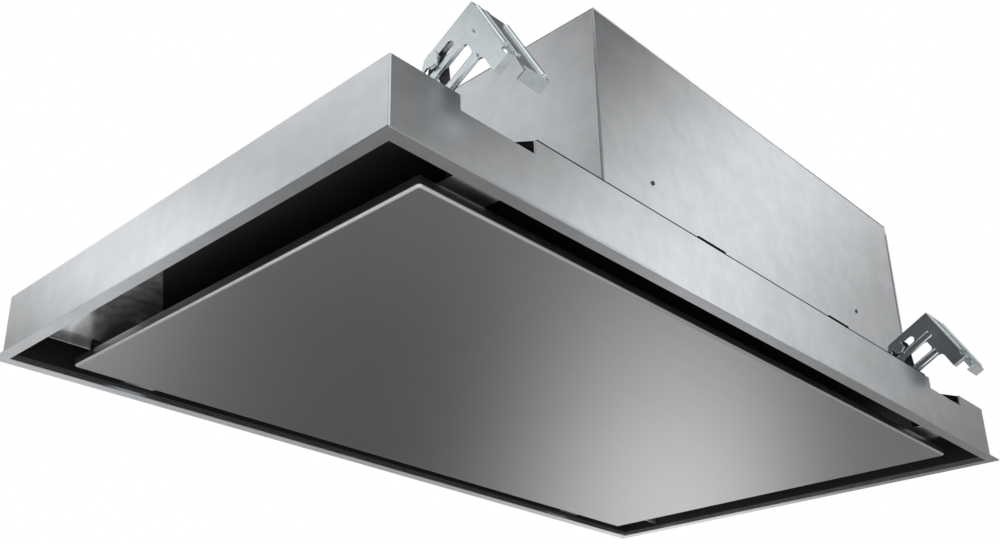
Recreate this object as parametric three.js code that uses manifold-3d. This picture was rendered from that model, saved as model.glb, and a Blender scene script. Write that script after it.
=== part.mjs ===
// Ceiling range hood with perimeter suction: a folded steel casing that sits in a ceiling cut-out, a
// stainless panel that hinges down in front of two grease filters, a motor box with a double-inlet
// centrifugal blower, a duct collar with backdraft flaps, and four swivelling ceiling brackets.
// Millimetres, +Z up, +X along the long side. The origin is the centre of the flange's underside.
import * as THREE from "three";
import { mergeGeometries, mergeVertices } from "three/addons/utils/BufferGeometryUtils.js";
import Module from "manifold-3d";

const wasm = await Module();
wasm.setup();

// ---- driving dimensions ----
const sheet = 1.2; // folded steel sheet
const seat = 0.3; // gap left between two pieces that rest on each other

const flangeLength = 900;
const flangeWidth = 500;
const flangeOverhang = 6; // how far the flange stands out from the casing wall
const casingHeight = 58.5;
const hemInset = 4.7; // from the wall's outer face to the inner face of the turned-up hem
const hemHeight = 8;
const notchLength = 73; // recess in the long walls at each bracket
const notchDepth = 11.6;
const notchFromEnd = 98; // notch centre from the casing's short wall

const guideClearance = 1.5; // hem to the air guide's skirt
const guideHeight = 37;
const guideSkirtBottom = 4;
const deflectorRadius = 26;
const deflectorFront = 12; // front end of its long edge, from the middle of the hood
const deflectorBackGap = 50.8; // its foot to the air guide's back
const deflectorBottom = 7;
const deflectorReach = 76; // how far the left one reaches in over the panel
const deflectorSlant = 57; // degrees from the X axis at which its front end is cut
const deflectorPanelGap = 1.8; // beside the panel
const deflectorPanelRoom = 3; // above it
const deflectorHolderGap = 1.3; // from the right one to the filter holder's flange
const deckEdge = 12; // turned-down rim of the deck
const ribOut = 90; // each stiffening rib of the deck from the middle
const ribWidth = 10;
const ribHeight = 2;
const ribEndGap = 19; // from a rib's left end to the casing wall
const intakeEdge = 35; // deck left round the intake, inside the motor box's front and back
const intakeSide = 40; // the same at the motor box's ends
const wellFloorHeight = 37.6;
const wellDepth = 56; // from the casing wall inwards

const panelSideGap = 58.5; // panel's short edges to the flange's
const panelFrontGap = 34; // panel's long edges to the flange's
const panelRim = 8;
const panelSheet = 0.9;
const backingSheet = 0.6;
const backingInset = 10;
const backingHeight = 14;

const hingeFromEnd = 76.5; // each hinge's middle from the panel's short edge
const hingeAxisOut = 6; // the hinge axis lies this far outside the panel's back edge
const hingeAxisHeight = 12;
const hingeWidth = 28;
const hingePinRadius = 2;
const hingePinClearance = 0.35;
const hingeWall = 1.8;
const hingeLeaf = 1.6;
const hingeLeafLength = 36;
const hingeEar = 2;
const earFoot = 6; // width of an ear where it meets its base
const pinHead = 1.2; // how far a pin's head stands out round it
const pinHeadLength = 1.5;
const catchFromEnd = 46.5; // each catch's middle from the panel's short edge
const catchWidth = 44;
const strikerLength = 35;
const magnetWidth = 38;
const magnetSetback = 4; // how far the magnet block reaches in over the panel
const poleLength = 10;
const poleDepth = 10;
const poleDrop = 3; // how far the poles stand out below the magnet block
const strikerReach = 9; // how far the striker stands out past the panel's front edge

const motorBoxLength = 564;
const motorBoxFromEnd = 28; // the box's right side to the casing's short wall
const motorBoxFront = -183;
const motorBoxBack = 135;
const hoodHeight = 299;
const boxFlange = 12; // inward flanges of the motor box sheets
const footSetback = 20; // each foot flange stops this far short of the box's corners
const lidLip = 8;

const filterFromEnd = 30; // outer ends of the filter pair inside the motor box's sides
const filterWidth = 300;
const filterThickness = 9.6;
const filterBorder = 14;
const filterFrontBorder = 26;
const filterGap = 8; // between the two filters
const pleatPitch = 9;
const pleatThickness = 0.9;
const holderGap = 3;
const holderLatchGap = 6; // between the filters' front edge and the holder's wall
const holderLedge = 8;
const holderFlange = 7; // width of the flange that lies on the air guide
const latchWidth = 46;
const latchDepth = 18;
const latchPlate = 2.2;
const latchTongueWidth = 23;
const latchTravel = 5;
const latchPull = 4; // how far the finger pull stands down
const latchPullSheet = 2;
const latchPullSetback = 4; // pull from the latch's ends and its back edge

const impellerClearance = 6; // impeller to the tongue of the scroll
const bladeDepth = 16;
const impellerWidth = 124;
const bladeCount = 32;
const bladeThickness = 1.2;
const bladeSweep = 0.17; // radians between a blade's inner and outer edge
const motorRadius = 38;
const motorLength = 58;
const shaftRadius = 4;
const shaftClearance = 0.3;
const hubDisc = 2.4;
const bossRadius = 10;
const bossLength = 16;
const bladeRing = 4.5; // radial width of the rings that join the blades' ends
const bladeRingLength = 3;
const motorGap = 10; // from the hub disc's middle to the motor's nose
const motorArmWidth = 18;
const motorArmSheet = 2;
const scrollGrowth = 30; // how much wider the spiral is at its top than at its tongue
const scrollFloorRoom = 3.2; // scroll's side plates to the motor box's floor
const scrollTopRoom = 8.6; // scroll's side plates to the motor box's lid
const scrollWidth = 150;
const scrollRim = 5; // how far the side plates stand out past the band
const inletOverlap = 4; // how far the inlet is wider than the blades' inner edge
const inletFlange = 1.5;
const scrollFrontRoom = 13.8; // scroll's side plates to the motor box's front

const collarRadius = 75;
const collarWall = 1.8;
const collarLength = 56;
const collarFlange = 13;
const collarDrop = 91; // collar's middle below the top of the hood
const collarFlangeSheet = 1.5;
const collarBead = 2; // height of the bead that stops the hose clip
const collarBeadAt = 33;
const flapPinRadius = 2.5;
const flapPinClearance = 0.35;
const flapKnuckle = 18;
const flapKnuckleWall = 1.4;
const flapKnuckleHeights = [-46, 26]; // on the left flap; the right flap's are the same turned over
const knuckleRoom = 0.6;
const flapPinOut = 17; // flap pin behind the motor box's back wall
const flapClearance = 1.6;
const flapThickness = 1.2;

const bracketTilt = 28.5; // degrees that the slotted leg falls inwards in the stored position
const bracketSheet = 1.5;
const bracketApexOut = 251; // apex from the middle of the hood
const bracketApexHeight = 131;
const bracketOffset = -33; // side plate from the middle of its notch
const innerLegLength = 64;
const innerLegWidth = 46;
const outerLegLength = 66;
const outerLegWidth = 15;
const webWidth = 36;
const webOverrun = 7; // how far the web runs past the side plate's end
const slotStart = 26;
const slotEnd = 58;
const slotWidth = 8;
const slotEdge = 12.5; // from the leg's upper edge to the slot's middle
const pivotAlong = 44; // pivot bolt along the slot from the apex
const boltRadius = 3;
const boltHead = 13; // across corners
const boltHeadLength = 3;
const boltNut = 11;
const boltNutLength = 4;
const earRadius = 9;
const earSpread = [6, 10]; // how much wider the ear is at its foot, outwards and inwards
const legChamfer = 14;
const legRound = 8;
const legFillet = 5;
const legRib = 1.4; // height of the pressed ribs
const webFlange = 9;
const webFoot = 10;

const controlLength = 150;
const controlWidth = 120;
const controlHeight = 46;
const controlGap = 15; // control box's foot to the motor box
const controlFront = 25;
const controlWall = 2;
const controlFoot = 12;
const boardInset = 8;
const boardStand = 6;
const boardThickness = 1.6;
const transformerSize = [36, 36, 25];
const transformerPlace = [24, 30]; // from the control box's front left corner, as the two below
const relaySize = [16, 20, 15];
const relayPlace = [78, 24];
const relayPitch = 26;
const terminalSize = [8, 60, 13];
const terminalPlace = [14, 30];
const glandRadius = 9;
const glandBore = 4;
const glandLength = 16;

// ---- derived dimensions ----
const casingX = flangeLength / 2 - flangeOverhang;
const casingY = flangeWidth / 2 - flangeOverhang;
const notchCentre = casingX - notchFromEnd;
const panelLength = flangeLength - 2 * panelSideGap;
const panelWidth = flangeWidth - 2 * panelFrontGap;
const hingeSpread = panelLength / 2 - hingeFromEnd; // from the middle of the hood
const catchSpread = panelLength / 2 - catchFromEnd;
const motorBoxRight = casingX - motorBoxFromEnd;
const motorBoxLeft = motorBoxRight - motorBoxLength;
const filterLength = motorBoxLength / 2 - filterFromEnd - filterGap / 2;
const controlLeft = motorBoxLeft - controlGap - controlFoot - controlLength;
const innerX = casingX - sheet;
const innerY = casingY - sheet;
const hemX = casingX - hemInset;
const hemY = casingY - hemInset;
const guideX = hemX - guideClearance;
const guideY = hemY - guideClearance;
const deckTop = casingHeight - sheet;
const deckUnder = deckTop - sheet;
const boxBase = deckTop + seat;
const boxCentre = (motorBoxLeft + motorBoxRight) / 2;
const boxInnerTop = hoodHeight - sheet;
const holderTop = guideHeight - sheet - seat;
const filterBottom = holderTop - filterThickness - seat;
const holderBottom = filterBottom - seat - sheet;
const latchTongue = holderLatchGap - sheet - 2 * seat;
const filterFront = -filterWidth / 2;
const filterBack = filterWidth / 2;
// The blower fills the motor box's height. Its spiral is a third grown at the bottom, two thirds at the
// front and all at the top, where the outlet begins.
const scrollReach = sheet + scrollRim;
const scrollPlateHeight = boxInnerTop - scrollTopRoom - boxBase - scrollFloorRoom;
const scrollStart = scrollPlateHeight / 2 - scrollReach - (2 * scrollGrowth) / 3;
const scrollEnd = scrollStart + scrollGrowth;
const blowerAxisHeight = boxBase + scrollFloorRoom + scrollReach + scrollStart + scrollGrowth / 3;
const blowerY = motorBoxFront + scrollFrontRoom + scrollReach + scrollStart + (2 * scrollGrowth) / 3;
const impellerRadius = scrollStart - impellerClearance;
const impellerInnerRadius = impellerRadius - bladeDepth;
const inletRadius = impellerInnerRadius + inletOverlap;
const collarHeight = hoodHeight - collarDrop;
const hingeAxisY = panelWidth / 2 + hingeAxisOut;

// ---- materials ----
function metal(color, roughness, metalness = 1) {
  return new THREE.MeshStandardMaterial({ color, roughness, metalness });
}
const galvanised = metal(0xb4b7b8, 0.45);
const brushedSteel = metal(0x9a9c9d, 0.3);
const zincPlated = metal(0xc9ced0, 0.32);
const blackSteel = metal(0x17181a, 0.5, 0.4);
const aluminium = metal(0xc4c6c8, 0.38);
const darkPlastic = metal(0x1d1f21, 0.55, 0);
const whitePlastic = metal(0xd5d6d2, 0.5, 0);
const motorPaint = metal(0x3a3d40, 0.5, 0.6);

// ---- solids ----
function toSolid(geometry) {
  const bare = geometry.index ? geometry.toNonIndexed() : geometry.clone();
  bare.deleteAttribute("normal");
  bare.deleteAttribute("uv");
  const merged = mergeVertices(bare, 1e-4);
  return new wasm.Manifold(
    new wasm.Mesh({
      numProp: 3,
      vertProperties: merged.getAttribute("position").array,
      triVerts: new Uint32Array(merged.index.array),
    }),
  );
}

function toGeometry(solid) {
  const mesh = solid.getMesh();
  const geometry = new THREE.BufferGeometry();
  geometry.setAttribute("position", new THREE.BufferAttribute(mesh.vertProperties, 3));
  geometry.setIndex(new THREE.BufferAttribute(mesh.triVerts, 1));
  geometry.computeVertexNormals();
  return geometry;
}

function join(...geometries) {
  return toGeometry(geometries.map(toSolid).reduce((sum, solid) => sum.add(solid)));
}

function cut(geometry, ...cutters) {
  return toGeometry(cutters.map(toSolid).reduce((left, solid) => left.subtract(solid), toSolid(geometry)));
}

function block(x0, x1, y0, y1, z0, z1) {
  const geometry = new THREE.BoxGeometry(x1 - x0, y1 - y0, z1 - z0);
  return geometry.translate((x0 + x1) / 2, (y0 + y1) / 2, (z0 + z1) / 2);
}

function rectangle(x0, x1, y0, y1, radius = 0) {
  const shape = new THREE.Shape();
  if (radius <= 0) {
    shape.moveTo(x0, y0).lineTo(x1, y0).lineTo(x1, y1).lineTo(x0, y1).closePath();
    return shape;
  }
  shape.absarc(x1 - radius, y0 + radius, radius, -Math.PI / 2, 0);
  shape.absarc(x1 - radius, y1 - radius, radius, 0, Math.PI / 2);
  shape.absarc(x0 + radius, y1 - radius, radius, Math.PI / 2, Math.PI);
  shape.absarc(x0 + radius, y0 + radius, radius, Math.PI, 1.5 * Math.PI);
  shape.closePath();
  return shape;
}

function disc(x, y, radius) {
  const shape = new THREE.Shape();
  shape.absarc(x, y, radius, 0, 2 * Math.PI);
  return shape;
}

// A flat shape given a thickness along one axis. Its own axes are X, Y for alongZ, Y, Z for alongX and
// X, Z for alongY.
function alongZ(shape, z0, z1, curveSegments = 6) {
  const geometry = new THREE.ExtrudeGeometry(shape, { depth: z1 - z0, bevelEnabled: false, curveSegments });
  return geometry.translate(0, 0, z0);
}

function alongX(shape, x0, x1, curveSegments = 6) {
  const geometry = alongZ(shape, x0, x1, curveSegments);
  const axes = new THREE.Matrix4().makeBasis(
    new THREE.Vector3(0, 1, 0),
    new THREE.Vector3(0, 0, 1),
    new THREE.Vector3(1, 0, 0),
  );
  return geometry.applyMatrix4(axes);
}

function alongY(shape, y0, y1, curveSegments = 6) {
  const geometry = alongZ(shape, -y1, -y0, curveSegments);
  const axes = new THREE.Matrix4().makeBasis(
    new THREE.Vector3(1, 0, 0),
    new THREE.Vector3(0, 0, 1),
    new THREE.Vector3(0, -1, 0),
  );
  return geometry.applyMatrix4(axes);
}

// A ring or a turned part about the X axis, from [radius, x] points that close on themselves or start on
// the axis.
function turnedAboutX(points, segments = 32) {
  const profile = points.map(([radius, x]) => new THREE.Vector2(radius, x));
  return new THREE.LatheGeometry(profile, segments).rotateZ(-Math.PI / 2);
}

function turnedAboutY(points, segments = 32) {
  return new THREE.LatheGeometry(points.map(([radius, y]) => new THREE.Vector2(radius, y)), segments);
}

const hood = new THREE.Group();

function place(name, geometry, material, parent = hood) {
  const mesh = new THREE.Mesh(geometry, material);
  mesh.name = name;
  parent.add(mesh);
  return mesh;
}

// Calls build(side name, sign) for both ends of one axis.
function forSides(names, build) {
  names.forEach((name, i) => build(name, i === 0 ? -1 : 1));
}

// ---- casing ----
function ring(halfX, halfY, wall, z0, z1) {
  const outline = rectangle(-halfX, halfX, -halfY, halfY);
  outline.holes.push(rectangle(-halfX + wall, halfX - wall, -halfY + wall, halfY - wall));
  return alongZ(outline, z0, z1);
}

function notchCutter(sideX, sideY) {
  const x = sideX * notchCentre;
  const y = sideY * casingY;
  const reach = 3 * sheet;
  const half = notchLength / 2;
  return block(x - half, x + half, y - reach, y + reach, casingHeight - notchDepth, casingHeight + 1);
}

const corners = [
  ["front_left", -1, -1],
  ["front_right", 1, -1],
  ["back_left", -1, 1],
  ["back_right", 1, 1],
];

function buildCasing() {
  const walls = ring(casingX, casingY, sheet, 0, casingHeight);
  const flange = ring(flangeLength / 2, flangeWidth / 2, flangeOverhang + hemInset, 0, sheet);
  const hem = ring(hemX + sheet, hemY + sheet, sheet, 0, hemHeight);
  const notches = corners.map(([, sideX, sideY]) => notchCutter(sideX, sideY));
  place("casing", cut(join(walls, flange, hem), ...notches), galvanised);
}

// The deck closes the casing's top round the motor box's intake and the four bracket wells.
function wellOpening(sideX, sideY, grow, z0, z1) {
  const x = sideX * notchCentre;
  const halfLength = notchLength / 2 + grow;
  const outer = sideY * (casingY + 1);
  const inner = sideY * (casingY - wellDepth - grow);
  return block(x - halfLength, x + halfLength, Math.min(outer, inner), Math.max(outer, inner), z0, z1);
}

const intake = {
  x0: motorBoxLeft + intakeSide,
  x1: motorBoxRight - intakeSide,
  y0: motorBoxFront + intakeEdge,
  y1: motorBoxBack - intakeEdge,
};

function buildDeck() {
  const edgeX = innerX - seat;
  const edgeY = innerY - seat;
  const top = alongZ(rectangle(-edgeX, edgeX, -edgeY, edgeY), deckUnder, deckTop);
  const rim = ring(edgeX, edgeY, sheet, deckTop - deckEdge, deckTop);
  const intakeHole = block(intake.x0, intake.x1, intake.y0, intake.y1, deckUnder - 1, deckTop + 1);
  const ribEnds = [-edgeX + ribEndGap, motorBoxLeft - intakeSide];
  const wells = corners.map(([, sideX, sideY]) =>
    wellOpening(sideX, sideY, sheet + seat, deckTop - deckEdge - 1, deckTop + 1),
  );
  const ribs = [-1, 1].map((side) => {
    const y = side * ribOut;
    return block(...ribEnds, y - ribWidth / 2, y + ribWidth / 2, deckTop - sheet / 2, deckTop + ribHeight);
  });
  place("deck_plate", cut(join(top, rim, ...ribs), intakeHole, ...wells), galvanised);
}

// The black sheet above the panel that leads the air from the gap round the panel to the filters.
const holder = {
  x0: boxCentre - filterGap / 2 - filterLength - holderGap,
  x1: boxCentre + filterGap / 2 + filterLength + holderGap,
  y0: filterFront - holderLatchGap,
  y1: filterBack + holderGap,
};

function buildAirGuide() {
  const top = alongZ(rectangle(-guideX, guideX, -guideY, guideY), guideHeight - sheet, guideHeight);
  const skirt = ring(guideX, guideY, sheet, guideSkirtBottom, guideHeight);
  const opening = block(holder.x0, holder.x1, holder.y0, holder.y1, guideHeight - 2 * sheet, guideHeight + 1);
  place("air_guide", cut(join(top, skirt), opening), blackSteel);
}

// Bright scoop in the back half of each side gap: a flat top that curves down to a foot at its back end. The
// left one reaches in over the panel, and the right one ends at the filter holder.
function buildDeflectors() {
  const topZ = guideHeight - sheet - seat;
  const back = guideY - deflectorBackGap;
  const bend = back - deflectorRadius;
  const centreZ = topZ - deflectorRadius;
  const profile = new THREE.Shape();
  profile.moveTo(deflectorFront, topZ - sheet);
  profile.absarc(bend, centreZ, deflectorRadius - sheet, Math.PI / 2, 0, true);
  profile.lineTo(back - sheet, deflectorBottom);
  profile.lineTo(back, deflectorBottom);
  profile.absarc(bend, centreZ, deflectorRadius, 0, Math.PI / 2, false);
  profile.lineTo(deflectorFront, topZ);
  profile.closePath();

  forSides(["left", "right"], (name, side) => {
    const outer = guideX - sheet - seat;
    const inner = side < 0 ? outer - deflectorReach : holder.x1 + holderFlange + deflectorHolderGap;
    const scoop = alongX(profile, ...span(0, inner, outer, side), 8);
    const slant = new THREE.Shape();
    const cutBack = (outer - inner + 1) * Math.tan((deflectorSlant * Math.PI) / 180);
    slant.moveTo(side * outer, deflectorFront);
    slant.lineTo(side * (inner - 1), deflectorFront - 1);
    slant.lineTo(side * (inner - 1), deflectorFront + cutBack);
    slant.closePath();
    const panelTop = backingHeight + deflectorPanelRoom;
    const overPanel = span(0, inner - 1, panelLength / 2 + deflectorPanelGap, side);
    const panelRoom = block(...overPanel, bend, back + 1, deflectorBottom - 1, panelTop);
    const cutters = [alongZ(slant, topZ - 2 * sheet, topZ + 1), ...(side < 0 ? [panelRoom] : [])];
    place("air_deflector_" + name, cut(scoop, ...cutters), galvanised);
  });
}

// ---- filters ----
function buildFilterHolder() {
  const { x0, x1, y0, y1 } = holder;
  const frame = (inset) => rectangle(x0 + inset, x1 - inset, y0 + inset, y1 - inset);
  const outline = frame(seat);
  outline.holes.push(frame(seat + sheet));
  const flangeBottom = guideHeight + seat;
  const walls = alongZ(outline, holderBottom, flangeBottom + sheet);
  const flange = frame(-holderFlange);
  flange.holes.push(frame(seat + sheet / 2));
  const flangePlate = alongZ(flange, flangeBottom, flangeBottom + sheet);
  const half = filterGap / 2 - seat;
  const bar = block(
    boxCentre - half,
    boxCentre + half,
    y0 + sheet,
    y1 - sheet,
    holderBottom,
    guideHeight - sheet,
  );
  const ledge = (front, back) =>
    block(x0 + sheet, x1 - sheet, front, back, holderBottom, holderBottom + sheet);
  const backLedge = ledge(filterBack - holderLedge, y1 - sheet);
  const frontLedge = ledge(y0 + sheet, filterFront - seat);
  place("filter_holder", join(walls, flangePlate, bar, backLedge, frontLedge), galvanised);
}

// A grease filter: an aluminium frame round a pleated core, with a pocket for the sliding latch.
function pleatedCore(x0, x1, y0, y1, z0, z1) {
  const count = Math.floor((x1 - x0) / pleatPitch);
  const pitch = (x1 - x0) / count;
  const shape = new THREE.Shape();
  const low = z0;
  const high = z1 - pleatThickness;
  for (let i = 0; i <= 2 * count; i++) {
    const x = x0 + (i * pitch) / 2;
    const z = i % 2 ? high : low;
    if (i === 0) shape.moveTo(x, z);
    else shape.lineTo(x, z);
  }
  for (let i = 2 * count; i >= 0; i--) {
    shape.lineTo(x0 + (i * pitch) / 2, (i % 2 ? high : low) + pleatThickness);
  }
  shape.closePath();
  return alongY(shape, y0, y1);
}

const latchFloor = filterBottom + seat;
const latchTop = latchFloor + latchPlate;

function buildFilters() {
  forSides(["left", "right"], (name, side) => {
    const middle = boxCentre + (side * (filterGap + filterLength)) / 2;
    const x0 = middle - filterLength / 2;
    const x1 = middle + filterLength / 2;
    const top = filterBottom + filterThickness;
    const frame = block(x0, x1, filterFront, filterBack, filterBottom, top);
    const coreBack = filterBack - filterBorder;
    const coreFront = filterFront + filterFrontBorder;
    const bottom = filterBottom;
    const window = block(x0 + filterBorder, x1 - filterBorder, coreFront, coreBack, bottom - 1, top + 1);
    const half = latchWidth / 2;
    const pocketBack = filterFront + latchDepth + latchTravel + seat;
    const pocketEnds = [middle - half - seat, middle + half + seat];
    const pocket = block(...pocketEnds, filterFront - 1, pocketBack, bottom - 1, latchTop + seat);
    const bite = 0.5; // how far the core runs into the frame
    const coreEnds = [x0 + filterBorder - bite, x1 - filterBorder + bite];
    const core = pleatedCore(...coreEnds, coreFront - bite, coreBack + bite, bottom + 1, top - 1);
    place("grease_filter_" + name, join(cut(frame, window, pocket), core), aluminium);

    const latchBack = filterFront + latchDepth;
    const plate = block(middle - half, middle + half, filterFront + seat, latchBack, latchFloor, latchTop);
    const tongue = block(
      middle - latchTongueWidth / 2,
      middle + latchTongueWidth / 2,
      filterFront - latchTongue,
      filterFront + 1,
      latchFloor,
      latchTop,
    );
    const pullBack = latchBack - latchPullSetback;
    const pull = block(
      middle - half + latchPullSetback,
      middle + half - latchPullSetback,
      pullBack - latchPullSheet,
      pullBack,
      latchFloor - latchPull,
      latchTop - 1,
    );
    place("filter_latch_" + name, join(plate, tongue, pull), darkPlastic);
  });
}

// ---- panel ----
function buildPanel() {
  const halfX = panelLength / 2;
  const halfY = panelWidth / 2;
  const body = block(-halfX, halfX, -halfY, halfY, 0, panelRim);
  const wallX = halfX - panelSheet;
  const wallY = halfY - panelSheet;
  const hollow = block(-wallX, wallX, -wallY, wallY, panelSheet, panelRim + 1);
  place("panel_skin", cut(body, hollow), brushedSteel);

  const backX = halfX - backingInset;
  const backY = halfY - backingInset;
  const foot = panelSheet + seat;
  const shell = block(-backX, backX, -backY, backY, foot, backingHeight);
  const inX = backX - backingSheet;
  const inY = backY - backingSheet;
  const inside = block(-inX, inX, -inY, inY, foot - 1, backingHeight - backingSheet);
  place("panel_backing", cut(shell, inside), galvanised);
}

function span(middle, near, far, end) {
  const ends = [middle + end * near, middle + end * far];
  return [Math.min(...ends), Math.max(...ends)];
}

function buildHinges() {
  forSides(["left", "right"], (name, side) => {
    const middle = side * hingeSpread;
    const half = hingeWidth / 2;
    const boreRadius = hingePinRadius + hingePinClearance;
    const knuckleRadius = boreRadius + hingeWall;
    const leafBottom = backingHeight + seat;
    const leafFront = panelWidth / 2 - hingeLeafLength;
    const axis = [hingeAxisY, hingeAxisHeight];
    const leafTop = leafBottom + hingeLeaf;
    const leaf = block(middle - half, middle + half, leafFront, hingeAxisY, leafBottom, leafTop);
    const knuckle = alongX(disc(...axis, knuckleRadius), middle - half, middle + half, 5);
    const bore = alongX(disc(...axis, boreRadius), middle - half - 1, middle + half + 1, 4);
    place("panel_hinge_" + name, cut(join(leaf, knuckle), bore), zincPlated);

    const earNear = half + seat;
    const earFar = earNear + hingeEar;
    const baseY = guideY - sheet - seat;
    const earBottom = hingeAxisHeight - knuckleRadius;
    const ear = new THREE.Shape();
    ear.absarc(...axis, knuckleRadius, 0.55 * Math.PI, 1.5 * Math.PI);
    ear.lineTo(baseY, earBottom);
    ear.lineTo(baseY, holderTop);
    ear.lineTo(baseY - earFoot, holderTop);
    ear.closePath();
    const ears = [-1, 1].map((end) => alongX(ear, ...span(middle, earNear, earFar, end), 5));
    const base = block(middle - earFar, middle + earFar, baseY - hingeLeaf, baseY, earBottom, holderTop);
    const pinHole = alongX(disc(...axis, hingePinRadius + 0.1), middle - earFar - 1, middle + earFar + 1, 4);
    place("hinge_ears_" + name, cut(join(base, ...ears), pinHole), zincPlated);

    const pinEnd = earFar + seat;
    const pin = alongX(disc(...axis, hingePinRadius), middle - pinEnd, middle + pinEnd, 4);
    const head = disc(...axis, hingePinRadius + pinHead);
    const heads = [-1, 1].map((end) => alongX(head, ...span(middle, pinEnd, pinEnd + pinHeadLength, end), 4));
    place("hinge_pin_" + name, join(pin, ...heads), zincPlated);
  });
}

// Magnetic catches at the front: a magnet block under the air guide and a steel striker on the panel.
function buildCatches() {
  forSides(["left", "right"], (name, side) => {
    const middle = side * catchSpread;
    const half = catchWidth / 2;
    const front = -panelWidth / 2;
    const strikerFront = front - strikerReach;
    const strikerBottom = backingHeight + seat;
    const strikerTop = strikerBottom + sheet;
    const striker = rectangle(middle - half, middle + half, strikerFront, strikerFront + strikerLength, 2.5);
    place("panel_striker_" + name, alongZ(striker, strikerBottom, strikerTop, 3), zincPlated);

    const housing = block(
      middle - magnetWidth / 2,
      middle + magnetWidth / 2,
      -(guideY - sheet - seat),
      front + magnetSetback,
      strikerTop + seat + poleDrop,
      holderTop,
    );
    const poles = [-1, 1].map((end) =>
      block(
        ...span(middle, poleLength / 2, 1.5 * poleLength, end),
        strikerFront + 1,
        strikerFront + 1 + poleDepth,
        strikerTop + seat,
        strikerTop + seat + poleDrop + 1,
      ),
    );
    place("catch_magnet_" + name, join(housing, ...poles), darkPlastic);
  });
}

// ---- motor box ----
function buildMotorBox() {
  const x0 = motorBoxLeft;
  const x1 = motorBoxRight;
  const y0 = motorBoxFront;
  const y1 = motorBoxBack;
  const top = boxInnerTop - seat;
  const sideStep = sheet + seat;

  // front and back sheets, each with an inward flange at its foot and at both ends
  const longSheet = (name, outer, inwards, ...cutters) => {
    const within = (depth) => span(outer, 0, depth, inwards);
    const wall = block(x0, x1, ...within(sheet), boxBase, top);
    const foot = block(x0 + footSetback, x1 - footSetback, ...within(boxFlange), boxBase, boxBase + sheet);
    const ends = [x0 + sideStep, x1 - sideStep - sheet].map((x) =>
      block(x, x + sheet, ...within(boxFlange), boxBase, top),
    );
    const folded = join(wall, foot, ...ends);
    place(name, cutters.length ? cut(folded, ...cutters) : folded, galvanised);
  };
  longSheet("motor_box_front", y0, 1);
  const outletDisc = disc(boxCentre, collarHeight, collarRadius - collarWall);
  longSheet("motor_box_back", y1, -1, alongY(outletDisc, y1 - 2 * sheet, y1 + sheet, 12));

  forSides(["left", "right"], (name, side) => {
    const outer = side < 0 ? x0 : x1;
    const within = (depth) => span(outer, 0, depth, -side);
    const plate = block(...within(sheet), y0 + sideStep, y1 - sideStep, boxBase, top);
    const foot = block(...within(boxFlange), y0 + footSetback, y1 - footSetback, boxBase, boxBase + sheet);
    place("motor_box_" + name, join(plate, foot), galvanised);
  });

  const lid = block(x0, x1, y0, y1, boxInnerTop, hoodHeight);
  const outline = (inset) => rectangle(x0 + inset, x1 - inset, y0 + inset, y1 - inset);
  const lipShape = outline(2 * sideStep);
  lipShape.holes.push(outline(2 * sideStep + sheet));
  const lip = alongZ(lipShape, boxInnerTop - lidLip, boxInnerTop + sheet / 2);
  place("motor_box_lid", join(lid, lip), galvanised);
}

// ---- blower ----
// The scroll's spiral in the Y-Z plane: it starts at the tongue, runs under the impeller, up the front and
// over the top, and ends in a straight outlet towards the back.
const scrollTurn = 1.5 * Math.PI;

function spiralPoint(share, offset) {
  const radius = scrollStart + (scrollEnd - scrollStart) * share + offset;
  const angle = -share * scrollTurn;
  return [blowerY + radius * Math.cos(angle), blowerAxisHeight + radius * Math.sin(angle)];
}

const outletEnd = motorBoxBack - sheet - seat;

function spiral(shape, offset, from, to) {
  const steps = 24;
  for (let i = 0; i <= steps; i++) shape.lineTo(...spiralPoint(from + ((to - from) * i) / steps, offset));
}

function buildScroll() {
  const half = scrollWidth / 2;
  const top = blowerAxisHeight + scrollEnd;
  const band = new THREE.Shape();
  band.moveTo(outletEnd, blowerAxisHeight - sheet);
  band.lineTo(blowerY + scrollStart + sheet, blowerAxisHeight - sheet);
  spiral(band, sheet, 0.02, 1);
  band.lineTo(outletEnd, top + sheet);
  band.lineTo(outletEnd, top);
  spiral(band, 0, 1, 0);
  band.lineTo(outletEnd, blowerAxisHeight);
  band.closePath();
  place("scroll_band", alongX(band, boxCentre - half, boxCentre + half), galvanised);

  const rim = scrollReach;
  const plate = new THREE.Shape();
  plate.moveTo(outletEnd, blowerAxisHeight - rim);
  plate.lineTo(blowerY + scrollStart + rim, blowerAxisHeight - rim);
  spiral(plate, rim, 0.04, 1);
  plate.lineTo(outletEnd, top + rim);
  plate.closePath();
  plate.holes.push(disc(blowerY, blowerAxisHeight, inletRadius));
  forSides(["left", "right"], (name, side) => {
    const reach = half + seat + sheet;
    place("scroll_side_" + name, alongX(plate, ...span(boxCentre, half + seat, reach, side), 14), galvanised);
    const throat = [
      [inletRadius - 3.5, inletFlange],
      [inletRadius - 5, -10],
      [inletRadius - 3.5, -10],
      [inletRadius - 2, 0],
      [inletRadius + 14, 0],
      [inletRadius + 14, inletFlange],
      [inletRadius - 3.5, inletFlange],
    ];
    const mesh = place("inlet_ring_" + name, turnedAboutX(throat, 28), galvanised);
    mesh.position.set(boxCentre + side * (reach + seat), blowerY, blowerAxisHeight);
    if (side < 0) mesh.rotation.z = Math.PI;
  });
}

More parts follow.
